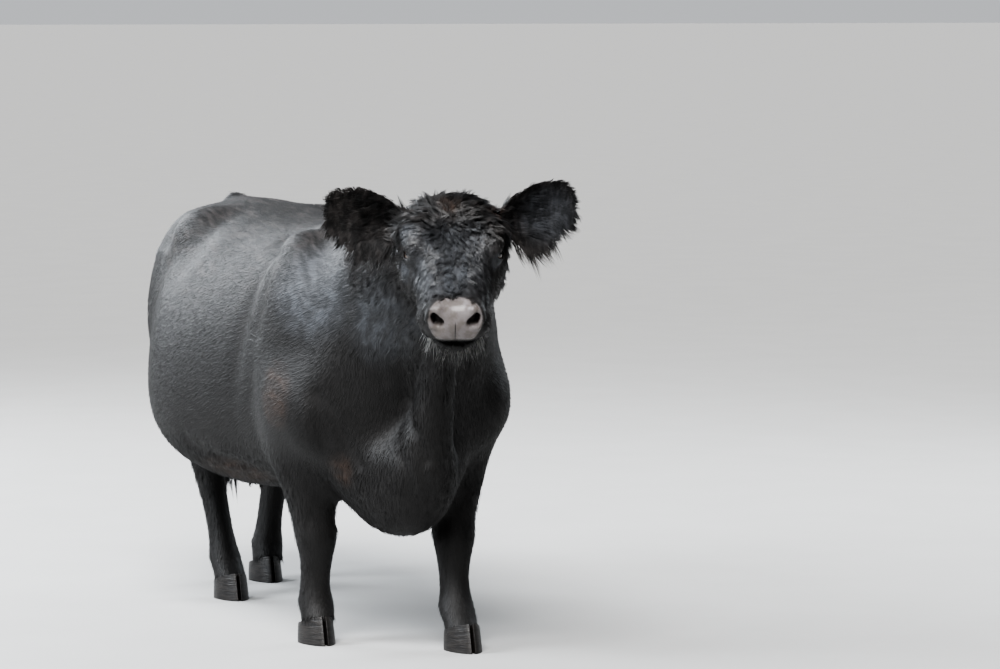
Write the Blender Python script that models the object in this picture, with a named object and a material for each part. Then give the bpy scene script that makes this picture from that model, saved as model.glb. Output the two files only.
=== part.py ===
"""Black Galloway cow, standing, its head turned to its right, at life size.

The body is one field that is negative inside the flesh and its short coat.
Each named node is the part of that field inside one region, and regions lie GAP apart.
The cow faces -Y and its left side is +X.
"""
import math

import bmesh
import bpy
import numpy as np
import openvdb
from mathutils import Matrix, Vector

GAP = 0.0003
HEAD_YAW = math.radians(19)
HEAD_PITCH = math.radians(38)
POLL = np.array((0.0, -0.515, 1.24))
EYE = np.array((0.103, 0.198, -0.042))
EYE_RADIUS = 0.0205
EAR_ROOT = np.array((0.114, 0.087, -0.052))
EAR_LENGTH = 0.215
CLAW_LENGTH = 0.118
CLAW_WIDTH = 0.050
CORONET_HEIGHT = 0.062
TAIL_CUT = 0.975


FAR = 9.0
BLOCK = 6


def curve_table(knots, values, samples=96):
    """Smooth curve through the values, as a table to read between."""
    slopes = np.gradient(values, knots)
    t = np.linspace(knots[0], knots[-1], samples)
    i = np.clip(np.searchsorted(knots, t) - 1, 0, len(knots) - 2)
    step = knots[i + 1] - knots[i]
    s = (t - knots[i]) / step
    start = (1 + 2 * s) * (1 - s) ** 2 * values[i] + s * (1 - s) ** 2 * step * slopes[i]
    stop = s * s * (3 - 2 * s) * values[i + 1] + s * s * (s - 1) * step * slopes[i + 1]
    return t, start + stop


def blend(a, b, k):
    """Union of two fields, rounded over the distance k."""
    h = np.clip(0.5 + 0.5 * (b - a) / k, 0, 1)
    return b + (a - b) * h - k * h * (1 - h)


class Loft:
    """Sections along one axis: along, mid u, mid v, half u, up v, down v, power up, power down."""

    def __init__(self, rows, end):
        rows = np.array(sorted(rows), float)
        self.low, self.high, self.end = rows[0, 0], rows[-1, 0], end
        self.tables = [curve_table(rows[:, 0], rows[:, c]) for c in range(1, 8)]

    def __call__(self, along, u, v):
        w = np.clip(along, self.low, self.high)
        mid_u, mid_v, a, up, down, power_up, power_down = (np.interp(w, t, x) for t, x in self.tables)
        over = v > mid_v
        b, p = np.where(over, up, down), np.where(over, power_up, power_down)
        x, y = np.abs(u - mid_u) / a + 1e-6, np.abs(v - mid_v) / b + 1e-6
        q = (x**p + y**p) ** (1 / p)
        g = q ** (1 - p) * np.sqrt((x ** (p - 1) / a) ** 2 + (y ** (p - 1) / b) ** 2)
        d = np.maximum((q - 1) / g, -np.minimum(a, b))
        return -blend(-d, -np.maximum(self.low - along, along - self.high), self.end)


def ellipsoid(p, centre, radii, axes=None):
    d = p - np.asarray(centre)
    if axes is not None:
        d = d @ np.asarray(axes).T
    k = d / np.asarray(radii)
    k0 = np.sqrt((k * k).sum(-1)) + 1e-9
    k1 = np.sqrt(((k / np.asarray(radii)) ** 2).sum(-1)) + 1e-9
    return k0 * (k0 - 1) / k1


def tube(p, points, radii):
    """Round tube through the points, with a radius at each."""
    best = np.full(len(p), FAR)
    for a, b, ra, rb in zip(points, points[1:], radii, radii[1:]):
        a, ab = np.asarray(a), np.subtract(b, a)
        t = np.clip(((p - a) @ ab) / (ab @ ab), 0, 1)
        best = np.minimum(best, np.linalg.norm(p - a - t[:, None] * ab, axis=1) - (ra + (rb - ra) * t))
    return best


def mound(p, centre, radii, height):
    """Change that a soft swelling of this height makes to a field. A negative height is a hollow."""
    return -height * np.exp(-(((p - np.asarray(centre)) / np.asarray(radii)) ** 2).sum(-1))


def crease(p, points, width, depth):
    """Change that a soft groove along the points makes to a field."""
    return depth * np.exp(-((tube(p, points, [0] * len(points)) / width) ** 2))


def near(p, low, high):
    return np.all((p > low) & (p < high), axis=1)


def mirrored(p):
    return p * np.where(p[:, :1] < 0, (-1, 1, 1), (1, 1, 1))


def sampled(field, low, high, step):
    """The field on a grid of this step. Blocks that the surface can't reach hold only a sign."""
    low = np.asarray(low, float)
    blocks = np.ceil((np.asarray(high) - low) / (step * BLOCK)).astype(int)
    size = BLOCK * step
    centres = np.stack(np.meshgrid(*[np.arange(n) for n in blocks], indexing="ij"), -1).reshape(-1, 3)
    rough = field(low + (centres + 0.5) * size)
    values = np.empty(tuple(blocks) + (BLOCK,) * 3, np.float32)
    values[:] = np.sign(rough).reshape(tuple(blocks) + (1, 1, 1)) * size
    inner = np.stack(np.meshgrid(*[np.arange(BLOCK)] * 3, indexing="ij"), -1).reshape(-1, 3)
    chosen = centres[np.abs(rough) < size * 1.25 + 0.012]
    for i in range(0, len(chosen), 2000):
        part = chosen[i : i + 2000]
        points = (part[:, None, :] * BLOCK + inner[None]).reshape(-1, 3) * step + low
        values[part[:, 0], part[:, 1], part[:, 2]] = field(points).reshape((len(part),) + (BLOCK,) * 3)
    return values.transpose(0, 3, 1, 4, 2, 5).reshape(blocks * BLOCK)


def surface(field, low, high, step):
    """Points and faces of the surface where the field is zero."""
    grid = openvdb.FloatGrid(3 * step)
    grid.copyFromArray(np.clip(sampled(field, low, high, step), -3 * step, 3 * step))
    points, triangles, quads = grid.convertToPolygons()
    faces = [f[::-1] for f in triangles.tolist()] + [f[::-1] for f in quads.tolist()]
    return points * step + np.asarray(low, float), faces


def unit(v):
    return np.asarray(v, float) / np.linalg.norm(v)


def head_axes():
    """Rows: to the left of the head, down the face, out of the face."""
    sy, cy, sp, cp = math.sin(HEAD_YAW), math.cos(HEAD_YAW), math.sin(HEAD_PITCH), math.cos(HEAD_PITCH)
    return np.array(((cy, -sy, 0), (-sy * cp, -cy * cp, -sp), (-sy * sp, -cy * sp, cp)))


HEAD = head_axes()
FACE_UP = np.array((0, -math.sin(HEAD_PITCH), math.cos(HEAD_PITCH)))
FACE_FORWARD = np.array((0, math.cos(HEAD_PITCH), math.sin(HEAD_PITCH)))
EYE_OUT = unit((0.86, 0.40, 0.32))
SLIT = unit(np.array((-0.30, 0.93, 0.22)) - EYE_OUT * (np.array((-0.30, 0.93, 0.22)) @ EYE_OUT))
LID_UP = np.cross(SLIT, EYE_OUT)


def ear_axes(rise, back):
    """Rows: along the ear, up across it, out of its cup."""
    along = unit(np.array((0.90, 0, 0)) + rise * FACE_UP - back * FACE_FORWARD)
    out = 0.90 * FACE_FORWARD + np.array((0.30, 0, 0)) - 0.16 * FACE_UP
    out = unit(out - along * (out @ along))
    up = np.cross(out, along)
    return np.array((along, up if up @ FACE_UP > 0 else -up, out))


EARS = {1: ear_axes(0.38, 0.22), -1: ear_axes(0.25, 0.17)}

# rows: y, half width, top, bottom, widest height, power above, power below
TORSO = [
    (-0.24, 0.170, 0.97, 0.46, 0.72, 2.1, 2.2),
    (-0.15, 0.235, 1.07, 0.41, 0.72, 2.1, 2.3),
    (-0.02, 0.285, 1.132, 0.395, 0.70, 2.1, 2.3),
    (0.12, 0.325, 1.150, 0.40, 0.67, 2.1, 2.3),
    (0.28, 0.358, 1.136, 0.395, 0.65, 2.1, 2.3),
    (0.45, 0.395, 1.128, 0.375, 0.63, 2.1, 2.4),
    (0.65, 0.425, 1.130, 0.362, 0.62, 2.05, 2.4),
    (0.82, 0.420, 1.142, 0.380, 0.64, 2.05, 2.4),
    (0.98, 0.370, 1.154, 0.440, 0.70, 2.1, 2.4),
    (1.12, 0.305, 1.158, 0.52, 0.77, 2.1, 2.3),
    (1.25, 0.245, 1.146, 0.62, 0.83, 2.1, 2.3),
    (1.37, 0.155, 1.085, 0.72, 0.88, 2.1, 2.1),
]
NECK = [
    (-0.56, 0.100, 1.195, 0.98, 1.09, 2.2, 2.2),
    (-0.47, 0.138, 1.212, 0.89, 1.06, 2.2, 2.2),
    (-0.38, 0.172, 1.202, 0.80, 1.02, 2.2, 2.2),
    (-0.28, 0.205, 1.182, 0.68, 0.97, 2.2, 2.2),
    (-0.18, 0.235, 1.162, 0.56, 0.90, 2.2, 2.2),
    (-0.06, 0.255, 1.145, 0.49, 0.82, 2.2, 2.2),
    (0.06, 0.262, 1.128, 0.48, 0.76, 2.2, 2.2),
]
# rows: along the face, half width, top, bottom, widest height, power above, power below
SKULL = [
    (-0.03, 0.078, -0.030, -0.140, -0.070, 2.2, 2.2),
    (0.03, 0.112, 0.004, -0.188, -0.070, 2.3, 2.3),
    (0.09, 0.126, 0.012, -0.216, -0.075, 2.5, 2.4),
    (0.15, 0.126, 0.010, -0.226, -0.080, 2.7, 2.4),
    (0.21, 0.114, 0.002, -0.218, -0.085, 2.7, 2.4),
    (0.27, 0.097, -0.010, -0.196, -0.090, 2.6, 2.4),
    (0.33, 0.086, -0.020, -0.176, -0.092, 2.5, 2.3),
    (0.38, 0.082, -0.028, -0.164, -0.092, 2.4, 2.3),
    (0.42, 0.068, -0.038, -0.146, -0.090, 2.4, 2.3),
]
# rows: height, half width, towards the back, towards the front, middle y, middle x
HIND = [
    (0.98, 0.100, 0.17, 0.22, 1.14, 0.155),
    (0.84, 0.125, 0.21, 0.23, 1.14, 0.172),
    (0.68, 0.124, 0.18, 0.21, 1.13, 0.182),
    (0.56, 0.096, 0.130, 0.130, 1.16, 0.175),
    (0.48, 0.071, 0.085, 0.083, 1.205, 0.163),
    (0.41, 0.053, 0.072, 0.060, 1.24, 0.152),
    (0.34, 0.045, 0.053, 0.046, 1.242, 0.143),
    (0.24, 0.039, 0.043, 0.041, 1.235, 0.132),
    (0.155, 0.041, 0.045, 0.043, 1.225, 0.125),
    (0.110, 0.048, 0.052, 0.048, 1.218, 0.122),
    (0.075, 0.047, 0.046, 0.050, 1.200, 0.120),
    (0.040, 0.050, 0.044, 0.058, 1.188, 0.119),
]
FORE = [
    (0.84, 0.100, 0.15, 0.14, 0.04, 0.190),
    (0.70, 0.118, 0.165, 0.16, 0.02, 0.198),
    (0.58, 0.112, 0.145, 0.125, 0.04, 0.203),
    (0.49, 0.092, 0.105, 0.094, 0.04, 0.200),
    (0.41, 0.074, 0.078, 0.074, 0.03, 0.187),
    (0.34, 0.061, 0.060, 0.061, 0.02, 0.176),
    (0.29, 0.059, 0.055, 0.061, 0.012, 0.169),
    (0.24, 0.048, 0.050, 0.051, 0.010, 0.165),
    (0.19, 0.042, 0.046, 0.043, 0.012, 0.163),
    (0.145, 0.043, 0.047, 0.044, 0.010, 0.162),
    (0.105, 0.050, 0.053, 0.050, 0.002, 0.160),
    (0.073, 0.047, 0.046, 0.050, -0.018, 0.160),
    (0.040, 0.050, 0.044, 0.058, -0.032, 0.160),
]
# each foot: side, distance from the middle plane, y, height where the leg starts to swing
FEET = {
    "right_fore": (-1, 0.160, 0.100, 0.62),
    "left_fore": (1, 0.160, -0.170, 0.62),
    "right_hind": (-1, 0.115, 1.010, 0.78),
    "left_hind": (1, 0.097, 1.345, 0.78),
}
TAIL = [(0, 1.22, 1.10), (0, 1.32, 1.125), (0, 1.400, 1.095), (0, 1.448, 1.02), (0, 1.462, 0.92)]
TAIL += [(0.004, 1.466, 0.80), (0.010, 1.468, 0.66), (0.012, 1.470, 0.55)]
TAIL_RADII = [0.048, 0.042, 0.035, 0.030, 0.027, 0.024, 0.020, 0.018]
# rows of an ear: along it, half height, half thickness, depth of the cup
EAR_ROWS = [
    (-0.03, 0.030, 0.026, 0.000),
    (0.00, 0.036, 0.024, 0.010),
    (0.03, 0.047, 0.012, 0.030),
    (0.07, 0.060, 0.0075, 0.036),
    (0.11, 0.065, 0.0065, 0.030),
    (0.155, 0.060, 0.006, 0.018),
    (0.19, 0.043, 0.006, 0.009),
    (0.215, 0.018, 0.005, 0.003),
]


def body_rows(table):
    return [(y, 0, mid, half, top - mid, mid - low, p, q) for y, half, top, low, mid, p, q in table]


def leg_rows(table, side, foot_x, foot_y, swing):
    """Rows of a leg whose foot is moved. The shift fades out towards the height of swing."""
    dx, dy = foot_x - table[-1][5], foot_y - table[-1][4]
    rows = []
    for z, half, back, front, y, x in table:
        share = max(0.0, 1 - z / swing) ** 0.9
        rows.append((z, side * (x + dx * share), y + dy * share, half, back, front, 2.15, 2.15))
    return rows


torso = Loft(body_rows(TORSO), 0.10)
neck = Loft(body_rows(NECK), 0.06)
skull = Loft([(w, 0, m, a, top - m, m - low, p, q) for w, a, top, low, m, p, q in SKULL], 0.045)
legs = {n: Loft(leg_rows(FORE if "fore" in n else HIND, *foot), 0.02) for n, foot in FEET.items()}
ear_blade = Loft([(w, 0, 0, a, t, t, 2.3, 2.3) for w, a, t, c in EAR_ROWS], 0.012)
EAR_CUP = curve_table(np.array([r[0] for r in EAR_ROWS]), np.array([r[3] for r in EAR_ROWS]))
EAR_HALF = curve_table(np.array([r[0] for r in EAR_ROWS]), np.array([r[1] for r in EAR_ROWS]))


def to_head(p):
    return (p - POLL) @ HEAD.T


def from_head(h):
    return np.asarray(h) @ HEAD + POLL


def ear_place(p, side):
    """A world point in the axes of an ear: along it, up, out of the cup."""
    return (to_head(p) * (side, 1, 1) - EAR_ROOT) @ EARS[side].T


def from_ear(e, side):
    return from_head((EAR_ROOT + np.asarray(e) @ EARS[side]) * (side, 1, 1))


def ear_field(e):
    """One ear in its own axes."""
    l, h, n = e[:, 0], e[:, 1], e[:, 2]
    half, cup = np.interp(l, *EAR_HALF), np.interp(l, *EAR_CUP)
    slope = 2 * cup * h / half**2
    bent = n + cup * (1 - np.clip(h / half, -1.3, 1.3) ** 2)
    return ear_blade(l, h, bent) / np.sqrt(1 + slope**2)


def head_field(p, ear_reach, sockets):
    """The head. The ears end at ear_reach, and sockets says whether the balls of the eyes are taken out."""
    h = to_head(p)
    m = mirrored(h)
    d = skull(m[:, 1], m[:, 0], m[:, 2])
    d = blend(d, ellipsoid(m, (0.076, 0.125, -0.125), (0.056, 0.115, 0.085)), 0.04)
    d = blend(d, ellipsoid(m, (0.096, 0.172, -0.008), (0.034, 0.050, 0.022)), 0.045)
    tilt = math.radians(12)
    axes = ((1, 0, 0), (0, math.cos(tilt), math.sin(tilt)), (0, -math.sin(tilt), math.cos(tilt)))
    d = blend(d, ellipsoid(m, (0, 0.400, -0.074), (0.066, 0.050, 0.054), axes), 0.022)
    d = blend(d, ellipsoid(m, (0.040, 0.400, -0.046), (0.030, 0.036, 0.028)), 0.018)
    d = blend(d, ellipsoid(m, (0.052, 0.372, -0.108), (0.038, 0.050, 0.030)), 0.022)
    d = blend(d, ellipsoid(m, (0.024, 0.409, -0.099), (0.044, 0.036, 0.027)), 0.018)
    d = blend(d, ellipsoid(m, (0, 0.380, -0.147), (0.057, 0.056, 0.024)), 0.012)
    # nostrils: the wing round each, the slit, and the hole that goes in
    wing = [(0.044, 0.424, -0.024), (0.062, 0.420, -0.034), (0.067, 0.424, -0.054), (0.058, 0.432, -0.072)]
    d = blend(d, tube(m, wing, [0.006, 0.008, 0.009, 0.008]), 0.018)
    slit = [(0.058, 0.432, -0.028), (0.059, 0.444, -0.042), (0.050, 0.452, -0.057), (0.034, 0.456, -0.067)]
    d = -blend(-d, tube(m, slit, [0.005, 0.010, 0.0135, 0.010]), 0.006)
    d = -blend(-d, tube(m, [(0.045, 0.450, -0.058), (0.036, 0.392, -0.052)], [0.0145, 0.009]), 0.006)
    d = -blend(-d, tube(m, [(0.055, 0.440, -0.044), (0.040, 0.396, -0.044)], [0.0095, 0.007]), 0.006)
    # groove of the upper lip and line of the mouth
    d += crease(m, [(0, 0.454, -0.078), (0, 0.446, -0.125)], 0.0035, 0.006)
    lips = [(0, 0.425, -0.131), (0.035, 0.416, -0.132), (0.052, 0.406, -0.133), (0.064, 0.390, -0.132)]
    lips += [(0.073, 0.360, -0.131), (0.077, 0.330, -0.129), (0.084, 0.298, -0.124)]
    d += crease(m, lips, 0.006, 0.015)
    # hollows in front of, behind and under the eye, the cheek ridge and the bridge
    d += mound(m, (0.088, 0.262, -0.052), (0.022, 0.030, 0.020), -0.006)
    d += mound(m, (0.122, 0.105, -0.030), (0.03, 0.028, 0.022), -0.007)
    d += mound(m, (0.094, 0.240, -0.086), (0.02, 0.036, 0.012), 0.006)
    d += mound(m, (0.0, 0.27, -0.006), (0.03, 0.06, 0.03), -0.004)
    # lids: a shell round the eye, with an almond opening
    q = m - EYE
    r = np.linalg.norm(q, axis=1)
    along, up, out = q @ SLIT, q @ LID_UP, q @ EYE_OUT
    opening = np.abs(up + 0.001 + 0.05 * along) - 0.0098 * np.clip(1 - (along / 0.018) ** 2, -1, 1)
    shell = np.maximum(np.abs(r - EYE_RADIUS - 0.0022) - 0.0034, -opening * 0.8)
    d = blend(d, ellipsoid(m, EYE - 0.004 * EYE_OUT, (0.022, 0.030, 0.024)), 0.016)
    d = blend(d, np.where(out > 0, shell, FAR), 0.006)
    d = np.maximum(d, -np.where(out > 0, np.maximum(opening, r - EYE_RADIUS - 0.012), FAR))
    for side in (-1, 1):
        w = near(h * (side, 1, 1), (0.02, -0.2, -0.25), (0.45, 0.35, 0.25))
        if w.any() and ear_reach > 0:
            e = (m[w] - EAR_ROOT) @ EARS[side].T
            d[w] = blend(d[w], np.maximum(ear_field(e), e[:, 0] - ear_reach), 0.016)
    return np.maximum(d, EYE_RADIUS + GAP - r) if sockets else d


def body_field(p, ear_reach=0.0, sockets=False):
    """The flesh with its short coat: all but the eyes and the hooves."""
    p = np.asarray(p, float).reshape(-1, 3)
    m = mirrored(p)
    d = np.full(len(p), FAR)

    def add(where, part, k):
        if where.any():
            d[where] = blend(d[where], part(), k)

    w = near(p, (-0.6, -0.5, 0.2), (0.6, 1.6, 1.4))
    add(w, lambda: torso(p[w, 1], p[w, 0], p[w, 2]), 0.01)
    w = near(p, (-0.45, -0.8, 0.3), (0.45, 0.35, 1.4))
    add(w, lambda: neck(p[w, 1], p[w, 0], p[w, 2]), 0.10)
    w = near(p, (-0.4, -0.55, 0.15), (0.4, 0.3, 0.9))
    add(w, lambda: ellipsoid(p[w], (0, -0.125, 0.455), (0.135, 0.195, 0.147)), 0.09)
    w = near(p, (-0.3, -0.75, 0.2), (0.3, 0.2, 1.15))
    dewlap = [(0.0, -0.475, 0.91), (0, -0.40, 0.74), (0, -0.31, 0.53)]
    add(w, lambda: tube(p[w], dewlap, [0.03, 0.05, 0.075]), 0.10)
    w = near(m, (0.0, -0.5, 0.4), (0.6, 0.6, 1.3))
    add(w, lambda: ellipsoid(m[w], (0.205, 0.07, 0.85), (0.11, 0.17, 0.26)), 0.07)
    add(w, lambda: ellipsoid(m[w], (0.226, -0.03, 0.655), (0.105, 0.17, 0.13)), 0.07)
    w = near(m, (0.0, 0.7, 0.4), (0.6, 1.7, 1.4))
    add(w, lambda: ellipsoid(m[w], (0.155, 1.20, 0.88), (0.125, 0.20, 0.23)), 0.08)
    add(w, lambda: ellipsoid(m[w], (0.195, 1.00, 1.060), (0.075, 0.09, 0.065)), 0.09)
    w = near(p, (-0.3, 0.7, 0.2), (0.3, 1.4, 0.7))
    add(w, lambda: ellipsoid(p[w], (0, 1.02, 0.45), (0.088, 0.145, 0.100)), 0.04)
    for name, (side, fx, fy, swing) in FEET.items():
        w = (p[:, 0] * side > -0.02) & (p[:, 2] < 1.2)
        w &= (p[:, 1] < 0.5) if "fore" in name else (p[:, 1] > 0.55)
        add(w, lambda: legs[name](p[w, 2], p[w, 0], p[w, 1]), 0.05 if "fore" in name else 0.06)
    w = near(m, (0.0, 0.85, 0.2), (0.2, 1.3, 0.6))
    for y in (0.965, 1.06):
        add(w, lambda: tube(m[w], [(0.040, y, 0.39), (0.044, y - 0.004, 0.325)], [0.016, 0.010]), 0.02)
    w = near(p, (-0.2, 1.1, 0.3), (0.2, 1.7, 1.35))
    add(w, lambda: tube(p[w], TAIL, TAIL_RADII), 0.03)
    w = near(p, (-0.6, -1.2, 0.6), (0.55, -0.2, 1.6))
    add(w, lambda: head_field(p[w], ear_reach, sockets), 0.03)
    w = near(m, (0.1, -0.4, 0.3), (0.7, 1.5, 1.4))
    if w.any():
        d[w] += mound(m[w], (0.33, 0.245, 0.92), (0.07, 0.035, 0.22), -0.014)
        d[w] += mound(m[w], (0.32, 0.82, 1.00), (0.10, 0.09, 0.07), -0.012)
    return d


COAT = (0.012, 0.011, 0.012, 1)
UDDER_SKIN = (0.10, 0.055, 0.035, 1)
HORN = (0.035, 0.030, 0.028, 1)
EYE_COLOUR = (0.015, 0.008, 0.006, 1)


def material(name, colour, roughness):
    made = bpy.data.materials.new(name)
    made.use_nodes = True
    shader = made.node_tree.nodes["Principled BSDF"]
    shader.inputs["Base Color"].default_value = colour
    shader.inputs["Roughness"].default_value = roughness
    return made


def solid(name, points, faces, collection):
    mesh = bpy.data.meshes.new(name)
    mesh.from_pydata([tuple(p) for p in points], [], [tuple(f) for f in faces])
    mesh.update()
    made = bpy.data.objects.new(name, mesh)
    collection.objects.link(made)
    return made


def faced_out(obj):
    bm = bmesh.new()
    bm.from_mesh(obj.data)
    bmesh.ops.recalc_face_normals(bm, faces=bm.faces)
    bm.to_mesh(obj.data)
    bm.free()
    return obj


def apply_modifiers(obj):
    graph = bpy.context.evaluated_depsgraph_get()
    mesh = bpy.data.meshes.new_from_object(obj.evaluated_get(graph))
    obj.modifiers.clear()
    old = obj.data
    obj.data = mesh
    bpy.data.meshes.remove(old)


def boolean(obj, cutter, operation):
    """Cuts obj by the cutter or keeps what lies inside it. The cutter goes."""
    cut = obj.modifiers.new("cut", "BOOLEAN")
    cut.operation, cut.solver, cut.object = operation, "EXACT", cutter
    apply_modifiers(obj)
    bpy.data.objects.remove(cutter)


def thin_out(obj, triangles):
    obj.data.calc_loop_triangles()
    fewer = obj.modifiers.new("fewer", "DECIMATE")
    fewer.ratio = min(1.0, triangles / len(obj.data.loop_triangles))
    apply_modifiers(obj)


def keep_largest(obj):
    """Leaves only the closed surface with the most faces."""
    bm = bmesh.new()
    bm.from_mesh(obj.data)
    left, groups = set(bm.faces), []
    while left:
        group, queue = set(), [left.pop()]
        while queue:
            face = queue.pop()
            group.add(face)
            for edge in face.edges:
                for other in edge.link_faces:
                    if other in left:
                        left.discard(other)
                        queue.append(other)
        groups.append(group)
    groups.sort(key=len)
    bmesh.ops.delete(bm, geom=[f for g in groups[:-1] for f in g], context="FACES")
    bmesh.ops.triangulate(bm, faces=bm.faces)
    bm.to_mesh(obj.data)
    bm.free()


def box_points(low, high):
    return [(x, y, z) for x in (low[0], high[0]) for y in (low[1], high[1]) for z in (low[2], high[2])]


BOX_FACES = [(0, 1, 3, 2), (4, 6, 7, 5), (0, 4, 5, 1), (2, 3, 7, 6), (0, 2, 6, 4), (1, 5, 7, 3)]


def region(bounds, planes, grow):
    """Closed box between two corners, cut by planes with normals out of it, and moved out by grow."""
    low, high = (np.asarray(b, float) for b in bounds)
    made = solid("region", box_points(low - grow, high + grow), BOX_FACES, helpers)
    bm = bmesh.new()
    bm.from_mesh(made.data)
    for point, normal in planes:
        normal = unit(normal)
        where = Vector(np.asarray(point) + normal * grow)
        geometry = bm.verts[:] + bm.edges[:] + bm.faces[:]
        bmesh.ops.bisect_plane(bm, geom=geometry, plane_co=where, plane_no=Vector(normal), clear_outer=True)
        bmesh.ops.holes_fill(bm, edges=[e for e in bm.edges if e.is_boundary])
    bmesh.ops.recalc_face_normals(bm, faces=bm.faces)
    bm.to_mesh(made.data)
    bm.free()
    return made


def ear_region(side, grow):
    """Box round one ear, outside the plane where it leaves the head."""
    corners = box_points(np.subtract((0.027, -0.085, -0.056), grow), np.add((0.40, 0.085, 0.10), grow))
    made = solid("region", from_ear(corners, side), BOX_FACES, helpers)
    return faced_out(made)


def flesh(name, low, high, step, triangles, field):
    """Closed mesh of the field inside a window."""
    low, high = np.asarray(low, float), np.asarray(high, float)

    def inside(p):
        return np.maximum(field(p), np.maximum(low + 2 * step - p, p - high + 2 * step).max(1))

    points, faces = surface(inside, low, high, step)
    made = solid(name, points, faces, body)
    thin_out(made, triangles)
    return made


def ball(name, centre, radius, collection, scale=(1, 1, 1), fine=3):
    bm = bmesh.new()
    bmesh.ops.create_icosphere(bm, subdivisions=fine, radius=radius)
    place = Matrix.Translation(Vector(centre)) @ Matrix.Diagonal((*scale, 1))
    bmesh.ops.transform(bm, matrix=place, verts=bm.verts)
    mesh = bpy.data.meshes.new(name)
    bm.to_mesh(mesh)
    bm.free()
    made = bpy.data.objects.new(name, mesh)
    collection.objects.link(made)
    return made


NECK_FRONT = ((0, -0.44, 1.20), (0, -0.983, 0.184))
NECK_BACK = ((0, -0.05, 1.17), (0, -0.67, 0.22))


def flipped(plane):
    return plane[0], tuple(-c for c in plane[1])


def neck_region(grow):
    return region(((-0.5, -0.8, 0.56), (0.5, 0.2, 1.4)), [NECK_FRONT, flipped(NECK_BACK)], grow)


def leg_region(name, grow):
    side = FEET[name][0]
    if "fore" in name:
        near_x, low_y, high_y, height, slope = 0.10, -0.30, 0.32, 0.35, 0.65
        planes = []
    else:
        near_x, low_y, high_y, height, slope = 0.0906, 0.80, 1.7, 0.45, 0.48
        planes = [((0, 0.93, 0.47), (0, -1, 0.75))]
    xs = sorted((side * near_x, side * 0.6))
    bounds = ((xs[0], low_y, -0.1), (xs[1], high_y, 0.9))
    return region(bounds, planes + [((side * near_x, 0, height), (-side * slope, 0, 1))], grow)


def udder_region(grow):
    return region(((-0.09, 0.86, 0.2), (0.09, 1.20, 0.43)), [], grow)


def tail_region(grow):
    return region(((-0.1, 1.416, 0.1), (0.1, 1.7, TAIL_CUT)), [], grow)


# how much the top of a claw rises towards the back, over its length
CORONET = 0.30
# rows of locks: along the face, number, half width of the row
FOREHEAD_ROWS = [
    (-0.030, 5, 0.090),
    (0.000, 6, 0.104),
    (0.034, 6, 0.112),
    (0.068, 6, 0.118),
    (0.104, 6, 0.118),
    (0.140, 6, 0.100),
    (0.176, 5, 0.076),
    (0.212, 4, 0.062),
    (0.248, 4, 0.056),
]
# rows of locks: height, number, distance from the middle of the tail, length
SWITCH_ROWS = [
    (0.580, 4, 0.020, 0.17),
    (0.500, 5, 0.026, 0.20),
    (0.420, 4, 0.024, 0.20),
]


def foot_place(name):
    side, x, y, swing = FEET[name]
    return side * x, y


def claw(name, foot, inner):
    """One claw: inner is 1 for the one nearer the middle of the cow and -1 for the other."""
    side = FEET[foot][0]
    centre_x, centre_y = foot_place(foot)
    across = -side * inner
    plan = [(0.002, -0.50), (0.10, -0.52), (0.36, -0.44), (0.66, -0.26), (0.88, 0.02), (0.96, 0.25)]
    plan += [(0.88, 0.42), (0.62, 0.50), (0.30, 0.50), (0.002, 0.44), (0.0, 0.15), (0.0, -0.20)]
    rings = [(0.0, 1.0, 1.0, 0.0), (0.010, 1.03, 1.03, 0.001), (0.030, 1.0, 0.97, 0.006)]
    points = []
    for z, wide, long, back in rings:
        for a, b in plan:
            x = 0.0016 + a * CLAW_WIDTH * wide
            points.append((centre_x + across * x, centre_y - 0.016 + b * CLAW_LENGTH * long + back, z))
    for a, b in plan:
        x, y = 0.0016 + a * CLAW_WIDTH * 0.93, -0.004 + b * CLAW_LENGTH * 0.86
        z = CORONET_HEIGHT - GAP - CORONET * y
        points.append((centre_x + across * x, centre_y + y, z))
    n = len(plan)
    faces = [tuple(range(n)), tuple(range(3 * n, 4 * n))]
    for r in range(3):
        for i in range(n):
            a, b = r * n + i, r * n + (i + 1) % n
            faces.append((a, b, b + n, a + n))
    return faced_out(solid(name, points, faces, body))


def dewclaw_place(foot, inner):
    """On the back of the fetlock."""
    height = 0.108
    x, y, half, back = (np.interp(height, *legs[foot].tables[i]) for i in range(4))
    return x - FEET[foot][0] * inner * 0.022, y + 0.84 * back, height


def dewclaw(name, foot, inner, radius, collection):
    return ball(name, dewclaw_place(foot, inner), radius, collection, (0.95, 0.85, 1.25), 2)


def whole_field(p):
    return body_field(p, 0.0)


def hair_core(p, d):
    """The dense under layer of the hair of poll and forehead, about half its depth."""
    m = mirrored(to_head(p))
    d = blend(d, ellipsoid(m, (0, 0.095, 0.002), (0.116, 0.140, 0.024)), 0.02)
    return blend(d, ellipsoid(m, (0, 0.005, -0.012), (0.104, 0.034, 0.034)), 0.02)


def switch_core(p, d):
    x, y = TAIL[-1][:2]
    spine = [(x, y, 0.60), (x, y, 0.52), (x, y, 0.42), (x, y, 0.34)]
    return blend(d, tube(p, spine, [0.018, 0.025, 0.025, 0.008]), 0.01)


def normal_at(p, field, step=0.004):
    p = np.atleast_2d(p)
    shifts = np.eye(3) * step
    n = np.stack([field(p + s) - field(p - s) for s in shifts], 1)
    return n / (np.linalg.norm(n, axis=1, keepdims=True) + 1e-12)


def seat(p, field):
    """Moves each point to the surface of the field, along the field's own slope."""
    for turn in range(6):
        p = p - normal_at(p, field) * field(p)[:, None] * 0.9
    return p


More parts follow.
